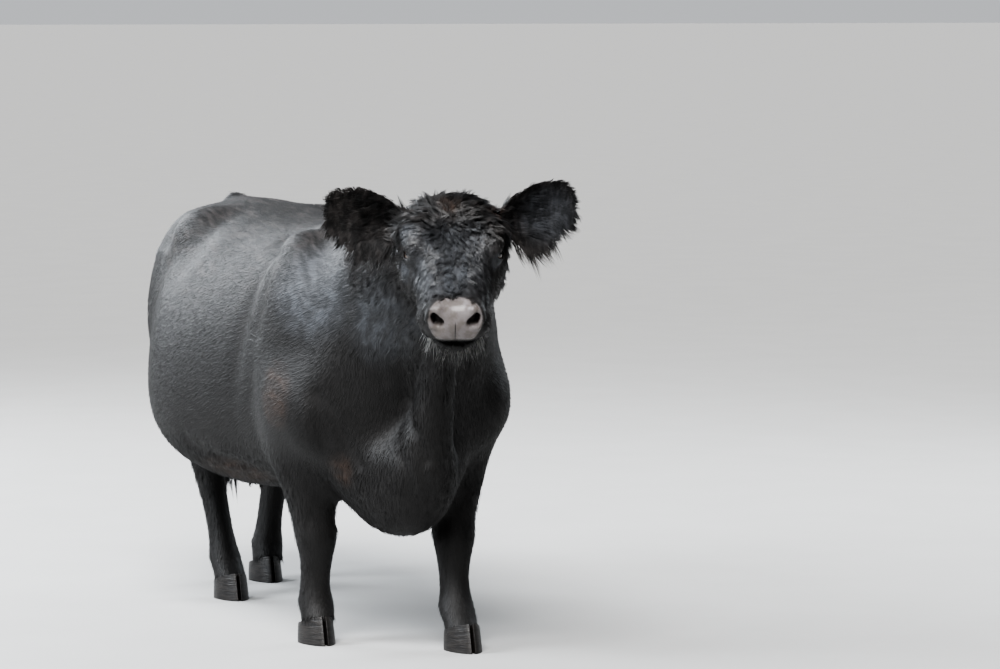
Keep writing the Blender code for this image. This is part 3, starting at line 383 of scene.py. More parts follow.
def body_field(p, sockets=False):
    """The flesh with its short coat: all but the eyes and the hooves."""
    p = np.asarray(p, float).reshape(-1, 3)
    m = mirrored(p)
    d = np.full(len(p), FAR)

    def add(where, part, k):
        if where.any():
            d[where] = blend(d[where], part(), k)

    w = near(p, (-0.6, -0.5, 0.2), (0.6, 1.6, 1.4))
    add(w, lambda: torso(p[w, 1], p[w, 0], p[w, 2]), 0.01)
    w = near(p, (-0.45, -0.8, 0.3), (0.45, 0.35, 1.4))
    add(w, lambda: neck(p[w, 1], p[w, 0], p[w, 2]), 0.10)
    w = near(p, (-0.4, -0.55, 0.15), (0.4, 0.3, 0.9))
    add(w, lambda: ellipsoid(p[w], (0, -0.125, 0.455), (0.135, 0.195, 0.147)), 0.09)
    w = near(p, (-0.3, -0.75, 0.2), (0.3, 0.2, 1.15))
    dewlap = [(0.0, -0.475, 0.91), (0, -0.40, 0.74), (0, -0.31, 0.53)]
    add(w, lambda: tube(p[w], dewlap, [0.03, 0.05, 0.075]), 0.10)
    w = near(m, (0.0, -0.5, 0.4), (0.6, 0.6, 1.3))
    add(w, lambda: ellipsoid(m[w], (0.205, 0.07, 0.85), (0.11, 0.17, 0.26)), 0.07)
    add(w, lambda: ellipsoid(m[w], (0.226, -0.03, 0.655), (0.105, 0.17, 0.13)), 0.07)
    w = near(m, (0.0, 0.7, 0.4), (0.6, 1.7, 1.4))
    add(w, lambda: ellipsoid(m[w], (0.155, 1.20, 0.88), (0.125, 0.20, 0.23)), 0.08)
    add(w, lambda: ellipsoid(m[w], (0.195, 1.00, 1.060), (0.075, 0.09, 0.065)), 0.09)
    w = near(p, (-0.3, 0.7, 0.2), (0.3, 1.4, 0.7))
    add(w, lambda: ellipsoid(p[w], (0, 1.02, 0.45), (0.088, 0.145, 0.100)), 0.04)
    for name, (side, fx, fy, swing) in FEET.items():
        w = (p[:, 0] * side > -0.02) & (p[:, 2] < 1.2)
        w &= (p[:, 1] < 0.5) if "fore" in name else (p[:, 1] > 0.55)
        add(w, lambda: legs[name](p[w, 2], p[w, 0], p[w, 1]), 0.05 if "fore" in name else 0.06)
    w = near(m, (0.0, 0.85, 0.2), (0.2, 1.3, 0.6))
    for y in (0.965, 1.06):
        add(w, lambda: tube(m[w], [(0.040, y, 0.39), (0.044, y - 0.004, 0.325)], [0.016, 0.010]), 0.02)
    w = near(p, (-0.2, 1.1, 0.3), (0.2, 1.7, 1.35))
    add(w, lambda: tube(p[w], TAIL, TAIL_RADII), 0.03)
    w = near(p, (-0.6, -1.2, 0.6), (0.55, -0.2, 1.6))
    add(w, lambda: head_field(p[w], sockets), 0.03)
    w = near(m, (0.1, -0.4, 0.3), (0.7, 1.5, 1.4))
    if w.any():
        d[w] += mound(m[w], (0.33, 0.245, 0.92), (0.07, 0.035, 0.22), -0.014)
        d[w] += mound(m[w], (0.32, 0.82, 1.00), (0.10, 0.09, 0.07), -0.012)
    return d


def foot_place(name):
    side, x, y = FEET[name][:3]
    return side * x, y


SHIFT = np.add(*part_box("left_eye")) / 2 - from_head(EYE)

# the photograph's camera, in the field's coordinates
PHOTO_WIDTH, PHOTO_HEIGHT = 1000, 669
VIEW_YAW = math.radians(21)
VIEW_DISTANCE = 11.4
PIXELS_PER_METRE = 375.4
FOOT_PIXEL = 385.0
GROUND_PIXEL = 648.0
TOWARDS = np.array((-math.sin(VIEW_YAW), -math.cos(VIEW_YAW), 0))
RIGHT = np.array((math.cos(VIEW_YAW), -math.sin(VIEW_YAW), 0))
FOCAL = PIXELS_PER_METRE * VIEW_DISTANCE
EYE_HEIGHT = (GROUND_PIXEL - 1.5) / PIXELS_PER_METRE
VIEW_FROM = TOWARDS * VIEW_DISTANCE - RIGHT * (FOOT_PIXEL - PHOTO_WIDTH / 2) / PIXELS_PER_METRE
VIEW_FROM = VIEW_FROM + np.array((0, 0, EYE_HEIGHT))
VIEW_PITCH = math.atan((PHOTO_HEIGHT / 2 - 1.5) / FOCAL)
LOOK = -TOWARDS * math.cos(VIEW_PITCH) - np.array((0, 0, math.sin(VIEW_PITCH)))
LOOK_UP = np.cross(RIGHT, LOOK)


def pick(x, y):
    """Where the photograph's pixel falls on the body."""
    ray = unit(LOOK + RIGHT * (x - PHOTO_WIDTH / 2) / FOCAL - LOOK_UP * (y - PHOTO_HEIGHT / 2) / FOCAL)
    p = VIEW_FROM + ray * (VIEW_DISTANCE - 1.8)
    for step in range(160):
        p = p + ray * np.clip(0.8 * body_field(p)[0], -0.01, 0.02)
    return p


# folds and swellings that the photograph shows, as pixels along each, with width and depth in metres
CREASES = [
    ([(285, 238), (275, 255), (268, 270), (262, 290), (258, 310), (255, 330)], 0.034, 0.009),
    ([(330, 405), (345, 440), (360, 465)], 0.014, 0.014),
    ([(318, 398), (325, 440)], 0.022, 0.017),
    ([(395, 355), (405, 400), (415, 440), (425, 460)], 0.018, 0.017),
    ([(420, 468), (428, 482), (432, 500)], 0.011, 0.010),
    ([(400, 455), (410, 478), (412, 500)], 0.012, 0.010),
    ([(185, 440), (215, 456), (250, 468)], 0.022, 0.010),
    ([(366, 300), (372, 340), (384, 380)], 0.020, 0.006),
]
SWELLINGS = [
    ((321, 368), 0.060, 0.014),
    ((300, 290), 0.090, 0.010),
    ((285, 400), 0.060, 0.006),
    ((212, 250), 0.090, 0.008),
    ((372, 460), 0.050, 0.010),
]
creases = [([pick(x, y) for x, y in line], width, depth) for line, width, depth in CREASES]
swellings = [(pick(*spot), radius, height) for spot, radius, height in SWELLINGS]


def ramp(x, low, high):
    t = np.clip((x - low) / (high - low), 0, 1)
    return t * t * (3 - 2 * t)


def on_head(p):
    h = to_head(p)
    return ramp(h[:, 1], -0.12, -0.02) * ramp(h[:, 2], -0.30, -0.24)


def on_ear(p):
    shares = []
    for side in (-1, 1):
        e = ear_place(p, side)
        inside = (np.abs(e[:, 1]) < 0.10) & (np.abs(e[:, 2]) < 0.08)
        shares.append(ramp(e[:, 0], 0.010, 0.040) * inside)
    return np.maximum(*shares)


PAD_HEIGHT, PAD_HALF_WIDTH, PAD_HALF_HEIGHT, PAD_POWER, MOUTH_HEIGHT = 0.928, 0.068, 0.060, 2.6, 0.884
PAD_NARROWING, PAD_START, PAD_EDGE = 0.2, (0.365, 0.385), (0.85, 1.15)


def on_pad(p):
    """1 on the bare pad of the nose: a rounded form seen from the front, narrower below."""
    h, z = to_head(p), p[:, 2] - PAD_HEIGHT
    wide = (np.abs(h[:, 0]) + PAD_NARROWING * np.maximum(0, -z)) / PAD_HALF_WIDTH
    away = wide**PAD_POWER + np.abs(z / PAD_HALF_HEIGHT) ** PAD_POWER
    return (1 - ramp(away, *PAD_EDGE)) * ramp(h[:, 1], *PAD_START) * (p[:, 2] > MOUTH_HEIGHT)


def coat_depth(p):
    """How far the skin lies inside the tips of the short coat."""
    m = mirrored(to_head(p))
    head, ear = on_head(p), on_ear(p)
    depth = 0.0035 + 0.0025 * ramp(p[:, 2], 0.25, 0.60)
    depth += (0.003 - depth) * head
    from_eye = np.linalg.norm(m - EYE, axis=1)
    bare = head * np.maximum(ramp(m[:, 1], 0.30, 0.38), 1 - ramp(from_eye, 0.028, 0.048))
    depth += (0.0008 - depth) * bare
    return depth + (0.0015 - depth) * ear


def skin_field(p):
    p = np.asarray(p, float).reshape(-1, 3)
    d = body_field(p, True) + coat_depth(p)
    for line, width, depth in creases:
        low, high = np.min(line, 0) - 3 * width, np.max(line, 0) + 3 * width
        w = near(p, low, high)
        if w.any():
            d[w] += crease(p[w], line, width, depth)
    for centre, radius, height in swellings:
        w = near(p, centre - 2.5 * radius, centre + 2.5 * radius)
        if w.any():
            d[w] += mound(p[w], centre, (radius,) * 3, height)
    for foot in FEET:
        x, y = foot_place(foot)
        w = near(p, (x - 0.1, y - 0.1, -0.1), (x + 0.1, y + 0.1, 0.15))
        if w.any():
            d[w] = np.maximum(d[w], CORONET_HEIGHT - 0.006 - CORONET * (p[w, 1] - y) - p[w, 2])
    return d


def put(name, data):
    """A new object in the scene."""
    made = bpy.data.objects.new(name, data)
    bpy.context.scene.collection.objects.link(made)
    return made


def solid(name, points, faces):
    mesh = bpy.data.meshes.new(name)
    mesh.from_pydata([tuple(p) for p in points], [], faces)
    return put(name, mesh)


def half(name, low, high, step, forward):
    """The skin on one side of the plane y = NECK_CUT."""
    made = solid(name, *surface(skin_field, low, high, step))
    bm = bmesh.new()
    bm.from_mesh(made.data)
    normal = Vector((0, 1 if forward else -1, 0))
    where = Vector((0, NECK_CUT + (0 if forward else SEAM), 0))
    geometry = bm.verts[:] + bm.edges[:] + bm.faces[:]
    bmesh.ops.bisect_plane(bm, geom=geometry, plane_co=where, plane_no=normal, clear_outer=True)
    bm.to_mesh(made.data)
    bm.free()
    return made


def largest(bm):
    """Removes all but the surface with the most faces."""
    left, groups = set(bm.faces), []
    while left:
        group, queue = [], [left.pop()]
        while queue:
            face = queue.pop()
            group.append(face)
            for edge in face.edges:
                for other in edge.link_faces:
                    if other in left:
                        left.discard(other)
                        queue.append(other)
        groups.append(group)
    groups.sort(key=len)
    bmesh.ops.delete(bm, geom=[f for g in groups[:-1] for f in g], context="FACES")


NECK_CUT = -0.37
SEAM = 0.002
BODY_STEP = 0.009
HEAD_STEP = 0.0027


def make_skin():
    head = half("head_skin", (-0.38, -1.00, 0.44), (0.36, NECK_CUT + 0.03, 1.38), HEAD_STEP, True)
    rest = half("skin", (-0.52, NECK_CUT - 0.04, 0.02), (0.52, 1.56, 1.28), BODY_STEP, False)
    bm = bmesh.new()
    for part in (head, rest):
        bm.from_mesh(part.data)
    bpy.data.objects.remove(head)
    bmesh.ops.bridge_loops(bm, edges=[e for e in bm.edges if e.is_boundary])
    largest(bm)
    bmesh.ops.triangulate(bm, faces=[f for f in bm.faces if len(f.verts) > 4])
    bmesh.ops.recalc_face_normals(bm, faces=bm.faces)
    bmesh.ops.translate(bm, verts=bm.verts, vec=Vector(SHIFT))
    bm.to_mesh(rest.data)
    bm.free()
    rest.data.shade_smooth()
    return rest


skin = make_skin()


# The coat


def units(v):
    return v / (np.linalg.norm(v, axis=-1, keepdims=True) + 1e-12)


def slope(p, field, step=0.003):
    shifts = np.eye(3) * step
    return units(np.stack([field(p + s) - field(p - s) for s in shifts], -1))


def read(items, name, kind):
    """An attribute of all items, three values to a row."""
    values = np.empty(len(items) * 3, kind)
    items.foreach_get(name, values)
    return values.reshape(-1, 3)


class Ground:
    """The skin's triangles, to draw roots from."""

    def __init__(self, obj):
        mesh = obj.data
        mesh.calc_loop_triangles()
        self.corners = read(mesh.loop_triangles, "vertices", np.int32)
        self.points = read(mesh.vertices, "co", np.float32).astype(float) - SHIFT
        self.normals = read(mesh.vertices, "normal", np.float32).astype(float)
        a, b, c = (self.points[self.corners[:, i]] for i in range(3))
        self.areas = np.linalg.norm(np.cross(b - a, c - a), axis=1) / 2
        self.centres = (a + b + c) / 3

    def roots(self, share, per_square_metre, rng):
        """Random places with normals, as many to the square metre as share says, 0 to 1 for each centre."""
        expected = self.areas * share(self.centres) * per_square_metre
        count = np.floor(expected + rng.random(len(expected))).astype(int)
        face = np.repeat(np.arange(len(count)), count)
        r = rng.random((len(face), 2))
        flip = r.sum(1) > 1
        r[flip] = 1 - r[flip]
        weights = np.column_stack((1 - r.sum(1), r))[:, :, None]
        corners = self.corners[face]
        return (self.points[corners] * weights).sum(1), units((self.normals[corners] * weights).sum(1))


def body_lie(p):
    """The way the short hair lies: back and down on the trunk, down on chest and legs."""
    leg = 1 - ramp(p[:, 2], 0.42, 0.62)
    chest = (1 - ramp(p[:, 1], -0.30, -0.10)) * (1 - ramp(p[:, 2], 0.75, 0.95))
    low = np.maximum(leg, chest)[:, None]
    trunk = np.column_stack((0.25 * np.clip(p[:, 0] / 0.08, -1, 1), np.ones(len(p)), np.full(len(p), -0.50)))
    rump = ramp(p[:, 1], 1.10, 1.30)[:, None]
    trunk = trunk * (1 - rump) + np.array((0, 0.35, -1.0)) * rump
    return trunk * (1 - low) + np.array((0, 0.15, -1.0)) * low


def face_lie(p):
    """Out from the whorl on the forehead, down the face, back and down over cheek and jaw."""
    h = to_head(p)
    u, w, v = h.T
    away = np.column_stack((u, w - WHORL))
    away = away / (np.linalg.norm(away, axis=1, keepdims=True) + 0.02)
    flow = 0.75 * away + 0.5 * np.column_stack((-away[:, 1], away[:, 0]))
    aside = np.clip(u / 0.05, -1, 1)
    flow += np.column_stack((0.25 * aside, 0.35 + 0.5 * (w < 0.03)))
    front = np.column_stack((flow, np.zeros(len(p))))
    bridge = ramp(w, 0.22, 0.30)[:, None]
    front = front * (1 - bridge) + np.column_stack((0.5 * aside, 0.9 + 0 * u, -0.2 + 0 * u)) * bridge
    cheek = np.column_stack((0.1 * aside, -0.25 + 0 * u, -0.9 + 0 * u))
    low = (1 - ramp(v, -0.10, -0.04))[:, None]
    return (front * (1 - low) + cheek * low) @ HEAD


def flat(flow, normals, share=1.0):
    """The directions, laid flat on the skin, or a share of the way."""
    return units(flow - share * normals * (flow * normals).sum(1, keepdims=True))


def ear_turn(side):
    """Rows: the axes of an ear as directions in the frame."""
    return EARS[side] @ (np.diag((side, 1, 1)) @ HEAD)


def lie(p, normals):
    head = on_head(p)[:, None]
    flow = units(body_lie(p)) * (1 - head) + units(face_lie(p)) * head
    for side in (-1, 1):
        e = ear_place(p, side)
        inside = (e[:, 0] > 0.02) & (np.abs(e[:, 1]) < 0.10) & (np.abs(e[:, 2]) < 0.08)
        outward = np.column_stack((np.ones(len(p)), 5 * e[:, 1], 0 * e[:, 0])) @ ear_turn(side)
        flow = np.where(inside[:, None], units(outward), flow)
    return flat(flow, normals)


def round_axis(p, centre_x, centre_z):
    return np.arctan2(p[:, 0] - centre_x, p[:, 2] - centre_z) / (2 * math.pi) + 0.5


def trunk_map(p):
    return np.column_stack((round_axis(p, 0, 0.75), p[:, 1]))


def nearest_foot(p):
    """The number of the foot that is nearest to each point, and where that foot stands."""
    spots = np.array([foot_place(foot) for foot in FEET])
    which = ((p[:, None, :2] - spots[None]) ** 2).sum(2).argmin(1)
    return which, spots[which]


def upright_map(p):
    which, spots = nearest_foot(p)
    angle = np.arctan2(p[:, 0] - spots[:, 0], p[:, 1] - spots[:, 1] - 0.02) / (2 * math.pi) + 0.5
    return np.column_stack((which + 0.96 * angle, p[:, 2]))


def head_map(p):
    h = to_head(p)
    return np.column_stack((round_axis(h, 0, -0.10), h[:, 1]))


def ear_map(p):
    side = np.where(np.linalg.norm(ear_place(p, 1), axis=1) < np.linalg.norm(ear_place(p, -1), axis=1), 1, -1)
    e = np.where((side > 0)[:, None], ear_place(p, 1), ear_place(p, -1))
    behind = e[:, 2] + np.interp(e[:, 0], *EAR_CUP) * (1 - (e[:, 1] / 0.07) ** 2) < 0
    return np.column_stack((e[:, 1] + 0.16 * behind, e[:, 0] + 0.14 * side))


def tail_map(p):
    x, y = TAIL[-1][:2]
    return np.column_stack((np.arctan2(p[:, 0] - x, p[:, 1] - y) / (2 * math.pi), p[:, 2]))


MOST_TRIANGLES = 190_000
PATCH = 0.003


def combed(roots, normals, along, length, segments):
    """Paths that follow the skin from each root for this length, and the skin's normals along them."""
    step = np.broadcast_to(length, len(roots))[:, None] / segments
    path, ups = [roots], [normals]
    for turn in range(segments):
        along = flat(along, ups[-1])
        spot = path[-1] + along * step
        ups.append(slope(spot, skin_field))
        path.append(spot - ups[-1] * np.clip(skin_field(spot), -0.02, 0.02)[:, None])
    return np.stack(path, 1), np.stack(ups, 1)


def straight(roots, normals, along, length, segments):
    t = np.linspace(0, 1, segments + 1)[None, :, None]
    path = roots[:, None] + along[:, None] * t * np.broadcast_to(length, len(roots))[:, None, None]
    return path, np.broadcast_to(normals[:, None], path.shape)


def bunch(path, ups, hairs, spread, tight, rng):
    """Makes each path a clump with tips drawn together. Returns paths, normals, phases and sizes."""
    n, spots = path.shape[:2]
    along = units(path[:, 1] - path[:, 0])
    side = np.cross(ups[:, 0], along)
    r, a = spread * np.sqrt(rng.random((n, hairs))), rng.uniform(0, 2 * math.pi, (n, hairs))
    offset = along[:, None] * (r * np.cos(a))[:, :, None] + side[:, None] * (r * np.sin(a))[:, :, None]
    phase = rng.uniform(0, 2 * math.pi, (n, 1)) + rng.uniform(-0.35, 0.35, (n, hairs))
    size = rng.uniform(0.75, 1.2, (n, 1)) * rng.uniform(0.85, 1.1, (n, hairs))
    t = np.linspace(0, 1, spots)[None, None, :, None]
    start = path[:, None, :1]
    made = start + (path[:, None] - start) * size[:, :, None, None] + offset[:, :, None] * (1 - tight * t)
    ups = np.broadcast_to(ups[:, None], made.shape)
    return made.reshape(-1, spots, 3), ups.reshape(-1, spots, 3), phase.ravel(), size.ravel()


class Hairs:
    """Hairs of one kind, each a closed tapered blade of three sides. They end as pieces with an unwrap."""

    def __init__(self, name, segments, unwrap, look):
        self.name, self.segments, self.unwrap, self.look = name, segments, unwrap, look
        self.points, self.shades, self.maps = [], [], []

    def add(self, path, ups, width, lift, rng, wave=0.0, turns=1.0, flat=0.5, sink=0.0015, phase=None,
            droop=0.0, soft=0.75):
        """Lift: height of the tip. Wave: its swing. Droop: its fall. Soft: share of the skin's own shade."""
        n, s = len(path), self.segments
        if n == 0:
            return
        width, lift, wave, droop = (np.broadcast_to(x, n)[:, None] for x in (width, lift, wave, droop))
        phase = rng.uniform(0, 2 * math.pi, n) if phase is None else phase
        t = np.linspace(0, 1, s + 1)[None]
        angle = 2 * math.pi * turns * t + phase[:, None]
        side = units(np.cross(ups, np.gradient(path, axis=1)))
        place = np.broadcast_to(self.unwrap(path[:, 0])[:, None], (n, 3 * s + 1, 2))
        swing = wave * (np.sin(angle) - np.sin(phase)[:, None]) * np.minimum(1, 2 * t)
        rise = lift * t**0.8 - sink * (1 - t)
        if s > 1:
            rise = rise + 0.5 * wave * (np.cos(angle) + 1) * t
        path = path + ups * rise[:, :, None] + side * swing[:, :, None]
        path[:, :, 2] -= droop * t**2
        ahead = units(np.gradient(path, axis=1))
        across = units(np.cross(ups, ahead))
        up = np.cross(ahead, across)
        wide = (width / 2 * np.clip(1.15 * (1 - t**1.6), 0, 1))[:, :, None]
        rings = (path + across * wide, path + up * (2 * flat * wide), path - across * wide)
        rings = np.stack(rings, 2)[:, :-1]
        self.points.append(np.concatenate((rings.reshape(n, -1, 3), path[:, -1:]), 1))
        shades = soft * ups[:, :, None] + (1 - soft) * np.stack((across, up, -across), 2)
        self.shades.append(units(np.concatenate((shades[:, :-1].reshape(n, -1, 3), ups[:, -1:]), 1)))
        ring_map = np.stack(np.meshgrid(t[0, :-1], (0, 0.5, 1), indexing="ij"), -1).reshape(-1, 2)
        local = np.concatenate((ring_map, ((1.0, 0.5),))) * PATCH
        self.maps.append((place, np.broadcast_to(local, place.shape)))

    def pieces(self):
        s = self.segments
        one = [(0, 2, 1)]
        for r in range(s - 1):
            for k in range(3):
                a, b = 3 * r + k, 3 * r + (k + 1) % 3
                one += [(a, b, b + 3), (a, b + 3, a + 3)]
        last = 3 * (s - 1)
        one += [(last + k, last + (k + 1) % 3, 3 * s) for k in range(3)]
        one = np.array(one)
        points, shades = np.concatenate(self.points), np.concatenate(self.shades)
        place, local = (np.concatenate([m[i] for m in self.maps]) for i in (0, 1))
        count = -(-len(points) // (MOST_TRIANGLES // len(one)))
        order = np.argsort(place[:, 0, 1], kind="stable")
        made = []
        for number, chosen in enumerate(np.array_split(order, count)):
            low, high = place[chosen, 0].min(0), place[chosen, 0].max(0)
            uv = 0.005 + 0.985 * (place[chosen] - low) / (high - low) + local[chosen]
            faces = (np.arange(len(chosen))[:, None, None] * (3 * s + 1) + one[None]).reshape(-1, 3)
            name = self.name if count == 1 else f"{self.name}_{number + 1}"
            made.append(mesh_piece(name, points[chosen] + SHIFT, faces, uv, shades[chosen], self.look))
        return made


def mesh_piece(name, points, faces, uv, shades, look):
    mesh = bpy.data.meshes.new(name)
    mesh.vertices.add(points.size // 3)
    mesh.vertices.foreach_set("co", points.astype(np.float32).ravel())
    mesh.loops.add(faces.size)
    mesh.loops.foreach_set("vertex_index", faces.astype(np.int32).ravel())
    mesh.polygons.add(len(faces))
    mesh.polygons.foreach_set("loop_start", np.arange(0, faces.size, 3, dtype=np.int32))
    mesh.update(calc_edges=True)
    layer = mesh.uv_layers.new(name="OFBake")
    layer.uv.foreach_set("vector", uv.reshape(-1, 2)[faces.ravel()].astype(np.float32).ravel())
    mesh.shade_smooth()
    mesh.normals_split_custom_set_from_vertices(shades.reshape(-1, 3).astype(np.float32))
    mesh.materials.append(look)
    return put(name, mesh)


# share of the hairs that are made: of those that are strewn, and of those that are counted one by one
DENSITY, COUNTED = ((1.0, 1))


# Looks. A spot is a soft patch of colour on the body: centre in the frame, radii
BROWN_SPOTS = [
    (pick(340, 472), (0.05, 0.06, 0.08)),
    (pick(235, 472), (0.16, 0.22, 0.06)),
    (pick(272, 395), (0.07, 0.10, 0.12)),
    (pick(450, 205), (0.045, 0.05, 0.03)),
    (pick(497, 213), (0.03, 0.04, 0.03)),
]
# painted sheen: pale bluish patches where sky light catches brow, face, muzzle, neck, shoulder and back
PAINTED_SHEEN_SPOTS = [
    (pick(409, 233), (0.045, 0.05, 0.055)),
    (pick(404, 272), (0.035, 0.05, 0.040)),
    (pick(418, 328), (0.045, 0.05, 0.055)),
    (pick(497, 262), (0.030, 0.04, 0.035)),
    (pick(452, 286), (0.055, 0.05, 0.045)),
    (pick(446, 262), (0.150, 0.15, 0.170)),
    (pick(382, 325), (0.120, 0.16, 0.170)),
    (pick(315, 290), (0.180, 0.22, 0.170)),
    (pick(548, 212), (0.110, 0.08, 0.110)),
]


class Nodes:
    """Short ways to make the nodes of a material or a world."""

    def __init__(self, tree):
        self.nodes, self.links = tree.nodes, tree.links

    def node(self, kind, output, sockets, **settings):
        """One node's output. Each socket gets a plain value or another node's output."""
        made = self.nodes.new("ShaderNode" + kind)
        for key, value in settings.items():
            setattr(made, key, value)
        for key, value in sockets.items():
            if isinstance(value, bpy.types.NodeSocket):
                self.links.new(value, made.inputs[key])
            else:
                made.inputs[key].default_value = value
        return made.outputs[output]

    def math(self, operation, a, b=0.0):
        return self.node("Math", 0, {0: a, 1: b}, operation=operation)

    def plus(self, a, b):
        return self.math("ADD", a, b)

    def times(self, a, b):
        return self.math("MULTIPLY", a, b)

    def vector(self, operation, a, b=(0, 0, 0), output="Vector"):
        return self.node("VectorMath", output, {0: a, 1: b}, operation=operation)

    def ramp(self, value, low, high, out_low=0.0, out_high=1.0):
        sockets = {"Value": value, "From Min": low, "From Max": high, "To Min": out_low, "To Max": out_high}
        return self.node("MapRange", "Result", sockets, interpolation_type="SMOOTHSTEP")


class Look(Nodes):
    """A Principled material."""

    def __init__(self, name, roughness, **constants):
        self.material = bpy.data.materials.new(name)
        self.material.use_nodes = True
        super().__init__(self.material.node_tree)
        self.shader = self.nodes["Principled BSDF"]
        self.shader.inputs["Roughness"].default_value = roughness
        for key, value in constants.items():
            self.shader.inputs[key.replace("_", " ")].default_value = value
        self.place = self.node("TexCoord", "Object", {})

    def noise(self, scale, stretch=(1, 1, 1), detail=4.0):
        place = self.node("Mapping", "Vector", {"Vector": self.place, "Scale": stretch})
        sockets = {"Vector": place, "Scale": scale, "Detail": detail, "Roughness": 0.55}
        return self.node("TexNoise", "Fac", sockets)

    def mix(self, factor, a, b):
        a, b = ((*x, 1) if isinstance(x, tuple) else x for x in (a, b))
        return self.node("Mix", 2, {"Factor": factor, 6: a, 7: b}, data_type="RGBA")

    def axis(self, name):
        return self.node("SeparateXYZ", name, {0: self.place})

    def spot(self, centre, radii, hard=0.35):
        """1 in the middle of a soft ellipsoid in the frame, 0 outside it."""
        away = self.vector("SUBTRACT", self.place, np.asarray(centre) + SHIFT)
        size = self.vector("LENGTH", self.vector("DIVIDE", away, radii), output="Value")
        return self.ramp(size, hard, 1.0, 1.0, 0.0)

    def bump(self, height, depth, strength):
        made = self.node("Bump", "Normal", {"Distance": depth, "Strength": strength, "Height": height})
        self.links.new(made, self.shader.inputs["Normal"])

    def colour(self, value):
        self.links.new(value, self.shader.inputs["Base Color"])


# painted shade of the hollow between the locks at the whorl
WHORL_SHADE_SPOT = (pick(452, 226), (0.022, 0.022, 0.014))
COAT_BLACK = (0.0080, 0.0071, 0.0068)
# the coat higher up: partly sun-worn, partly painted sheen of the sky's light
COAT_SUN_WORN_AND_SHEEN = (0.045, 0.039, 0.037)
COAT_BROWN = (0.040, 0.024, 0.017)
# painted sheen: the pale bluish tone of sky light on the hair
COAT_PAINTED_SHEEN = (0.062, 0.066, 0.074)
PAD_SKIN = (0.178, 0.161, 0.160)
PAD_DARK = (0.132, 0.116, 0.108)
# painted shade in the groove down the middle of the nose pad
PAD_GROOVE_SHADE = (0.030, 0.024, 0.024)
# inside of a nostril: its own reddish tone, darkened as painted shade
NOSTRIL_RED_AND_SHADE = (0.012, 0.007, 0.0065)
# colour of the painted shade at the whorl
WHORL_PAINTED_SHADE = (0.002, 0.002, 0.002)
HORN_DARK, HORN_PALE = (0.009, 0.008, 0.008), (0.022, 0.019, 0.017)
IRIS_DARK, IRIS_BROWN = (0.030, 0.015, 0.008), (0.085, 0.042, 0.020)
WHITE_DARK, WHITE_PALE = (0.050, 0.036, 0.032), (0.090, 0.070, 0.064)
PUPIL = (0.003, 0.003, 0.005)
BRISTLE_DARK, BRISTLE_PALE = (0.10, 0.10, 0.10), (0.58, 0.57, 0.55)
# spots of painted shade inside a nostril, over its reddish tone: centre on the left side, radius
NOSTRIL_SHADE_SPOTS = [((0.046, 0.424, -0.050), 0.021), ((0.053, 0.434, -0.040), 0.013)]


def most(look, spots):
    """1 in any of the spots, 0 outside them."""
    value = 0.0
    for centre, radii in spots:
        value = look.math("MAXIMUM", look.spot(centre, radii), value)
    return value


def coat_colour(look):
    """Black, lighter along the back from sun-wear and painted sheen, with brown in a few places and pale
    painted sheen in others.
    """
    drift = look.ramp(look.noise(5.0, detail=3.0), 0.40, 0.65)
    streaks = look.ramp(look.noise(60.0, (1, 0.18, 0.5), 3.0), 0.40, 0.70)

    def partly(value, share, least):
        return look.plus(look.times(value, share), least)

    # lighter higher up the body: partly sun-wear, partly painted sheen
    upper = look.ramp(look.axis("Z"), 0.78, 1.15)
    worn = look.times(partly(drift, 0.5, 0.5), look.times(upper, streaks))
    base = look.mix(worn, COAT_BLACK, COAT_SUN_WORN_AND_SHEEN)
    brown = look.times(most(look, BROWN_SPOTS), partly(streaks, 0.6, 0.3))
    # painted sheen in the sheen spots
    painted_sheen = look.times(most(look, PAINTED_SHEEN_SPOTS), partly(streaks, 0.6, 0.45))
    made = look.mix(brown, look.mix(painted_sheen, base, COAT_PAINTED_SHEEN), COAT_BROWN)
    # painted shade at the whorl
    return look.mix(look.spot(*WHORL_SHADE_SPOT), made, WHORL_PAINTED_SHADE)


SHEEN = {"Sheen_Weight": 0.012, "Sheen_Roughness": 0.4, "Sheen_Tint": (0.80, 0.88, 0.95, 1),
         "Specular_IOR_Level": 0.5}


def hair_look(name, roughness, shine=0.5, sheen=0.012):
    look = Look(name, roughness, **{**SHEEN, "Specular_IOR_Level": shine, "Sheen_Weight": sheen})
    look.colour(coat_colour(look))
    return look.material


def pad_mask(look):
    """The same form as on_pad, as nodes, with the places across it and up from its middle."""
    away = look.vector("SUBTRACT", look.place, POLL + SHIFT)
    u, w, height = (look.vector("DOT_PRODUCT", away, axis, "Value") for axis in (HEAD[0], HEAD[1], (0, 0, 1)))
    z = look.plus(height, POLL[2] - PAD_HEIGHT)
    below = look.times(look.math("MAXIMUM", look.times(z, -1.0), 0.0), PAD_NARROWING)
    wide = look.times(look.plus(look.math("ABSOLUTE", u), below), 1 / PAD_HALF_WIDTH)
    high = look.times(look.math("ABSOLUTE", z), 1 / PAD_HALF_HEIGHT)
    away = look.plus(*(look.math("POWER", side, PAD_POWER) for side in (wide, high)))
    front = look.ramp(w, *PAD_START)
    lip = MOUTH_HEIGHT - POLL[2]
    upper = look.ramp(height, lip - 0.006, lip + 0.002)
    inside = look.ramp(away, *PAD_EDGE, 1.0, 0.0)
    return look.times(inside, look.times(front, upper)), u, z


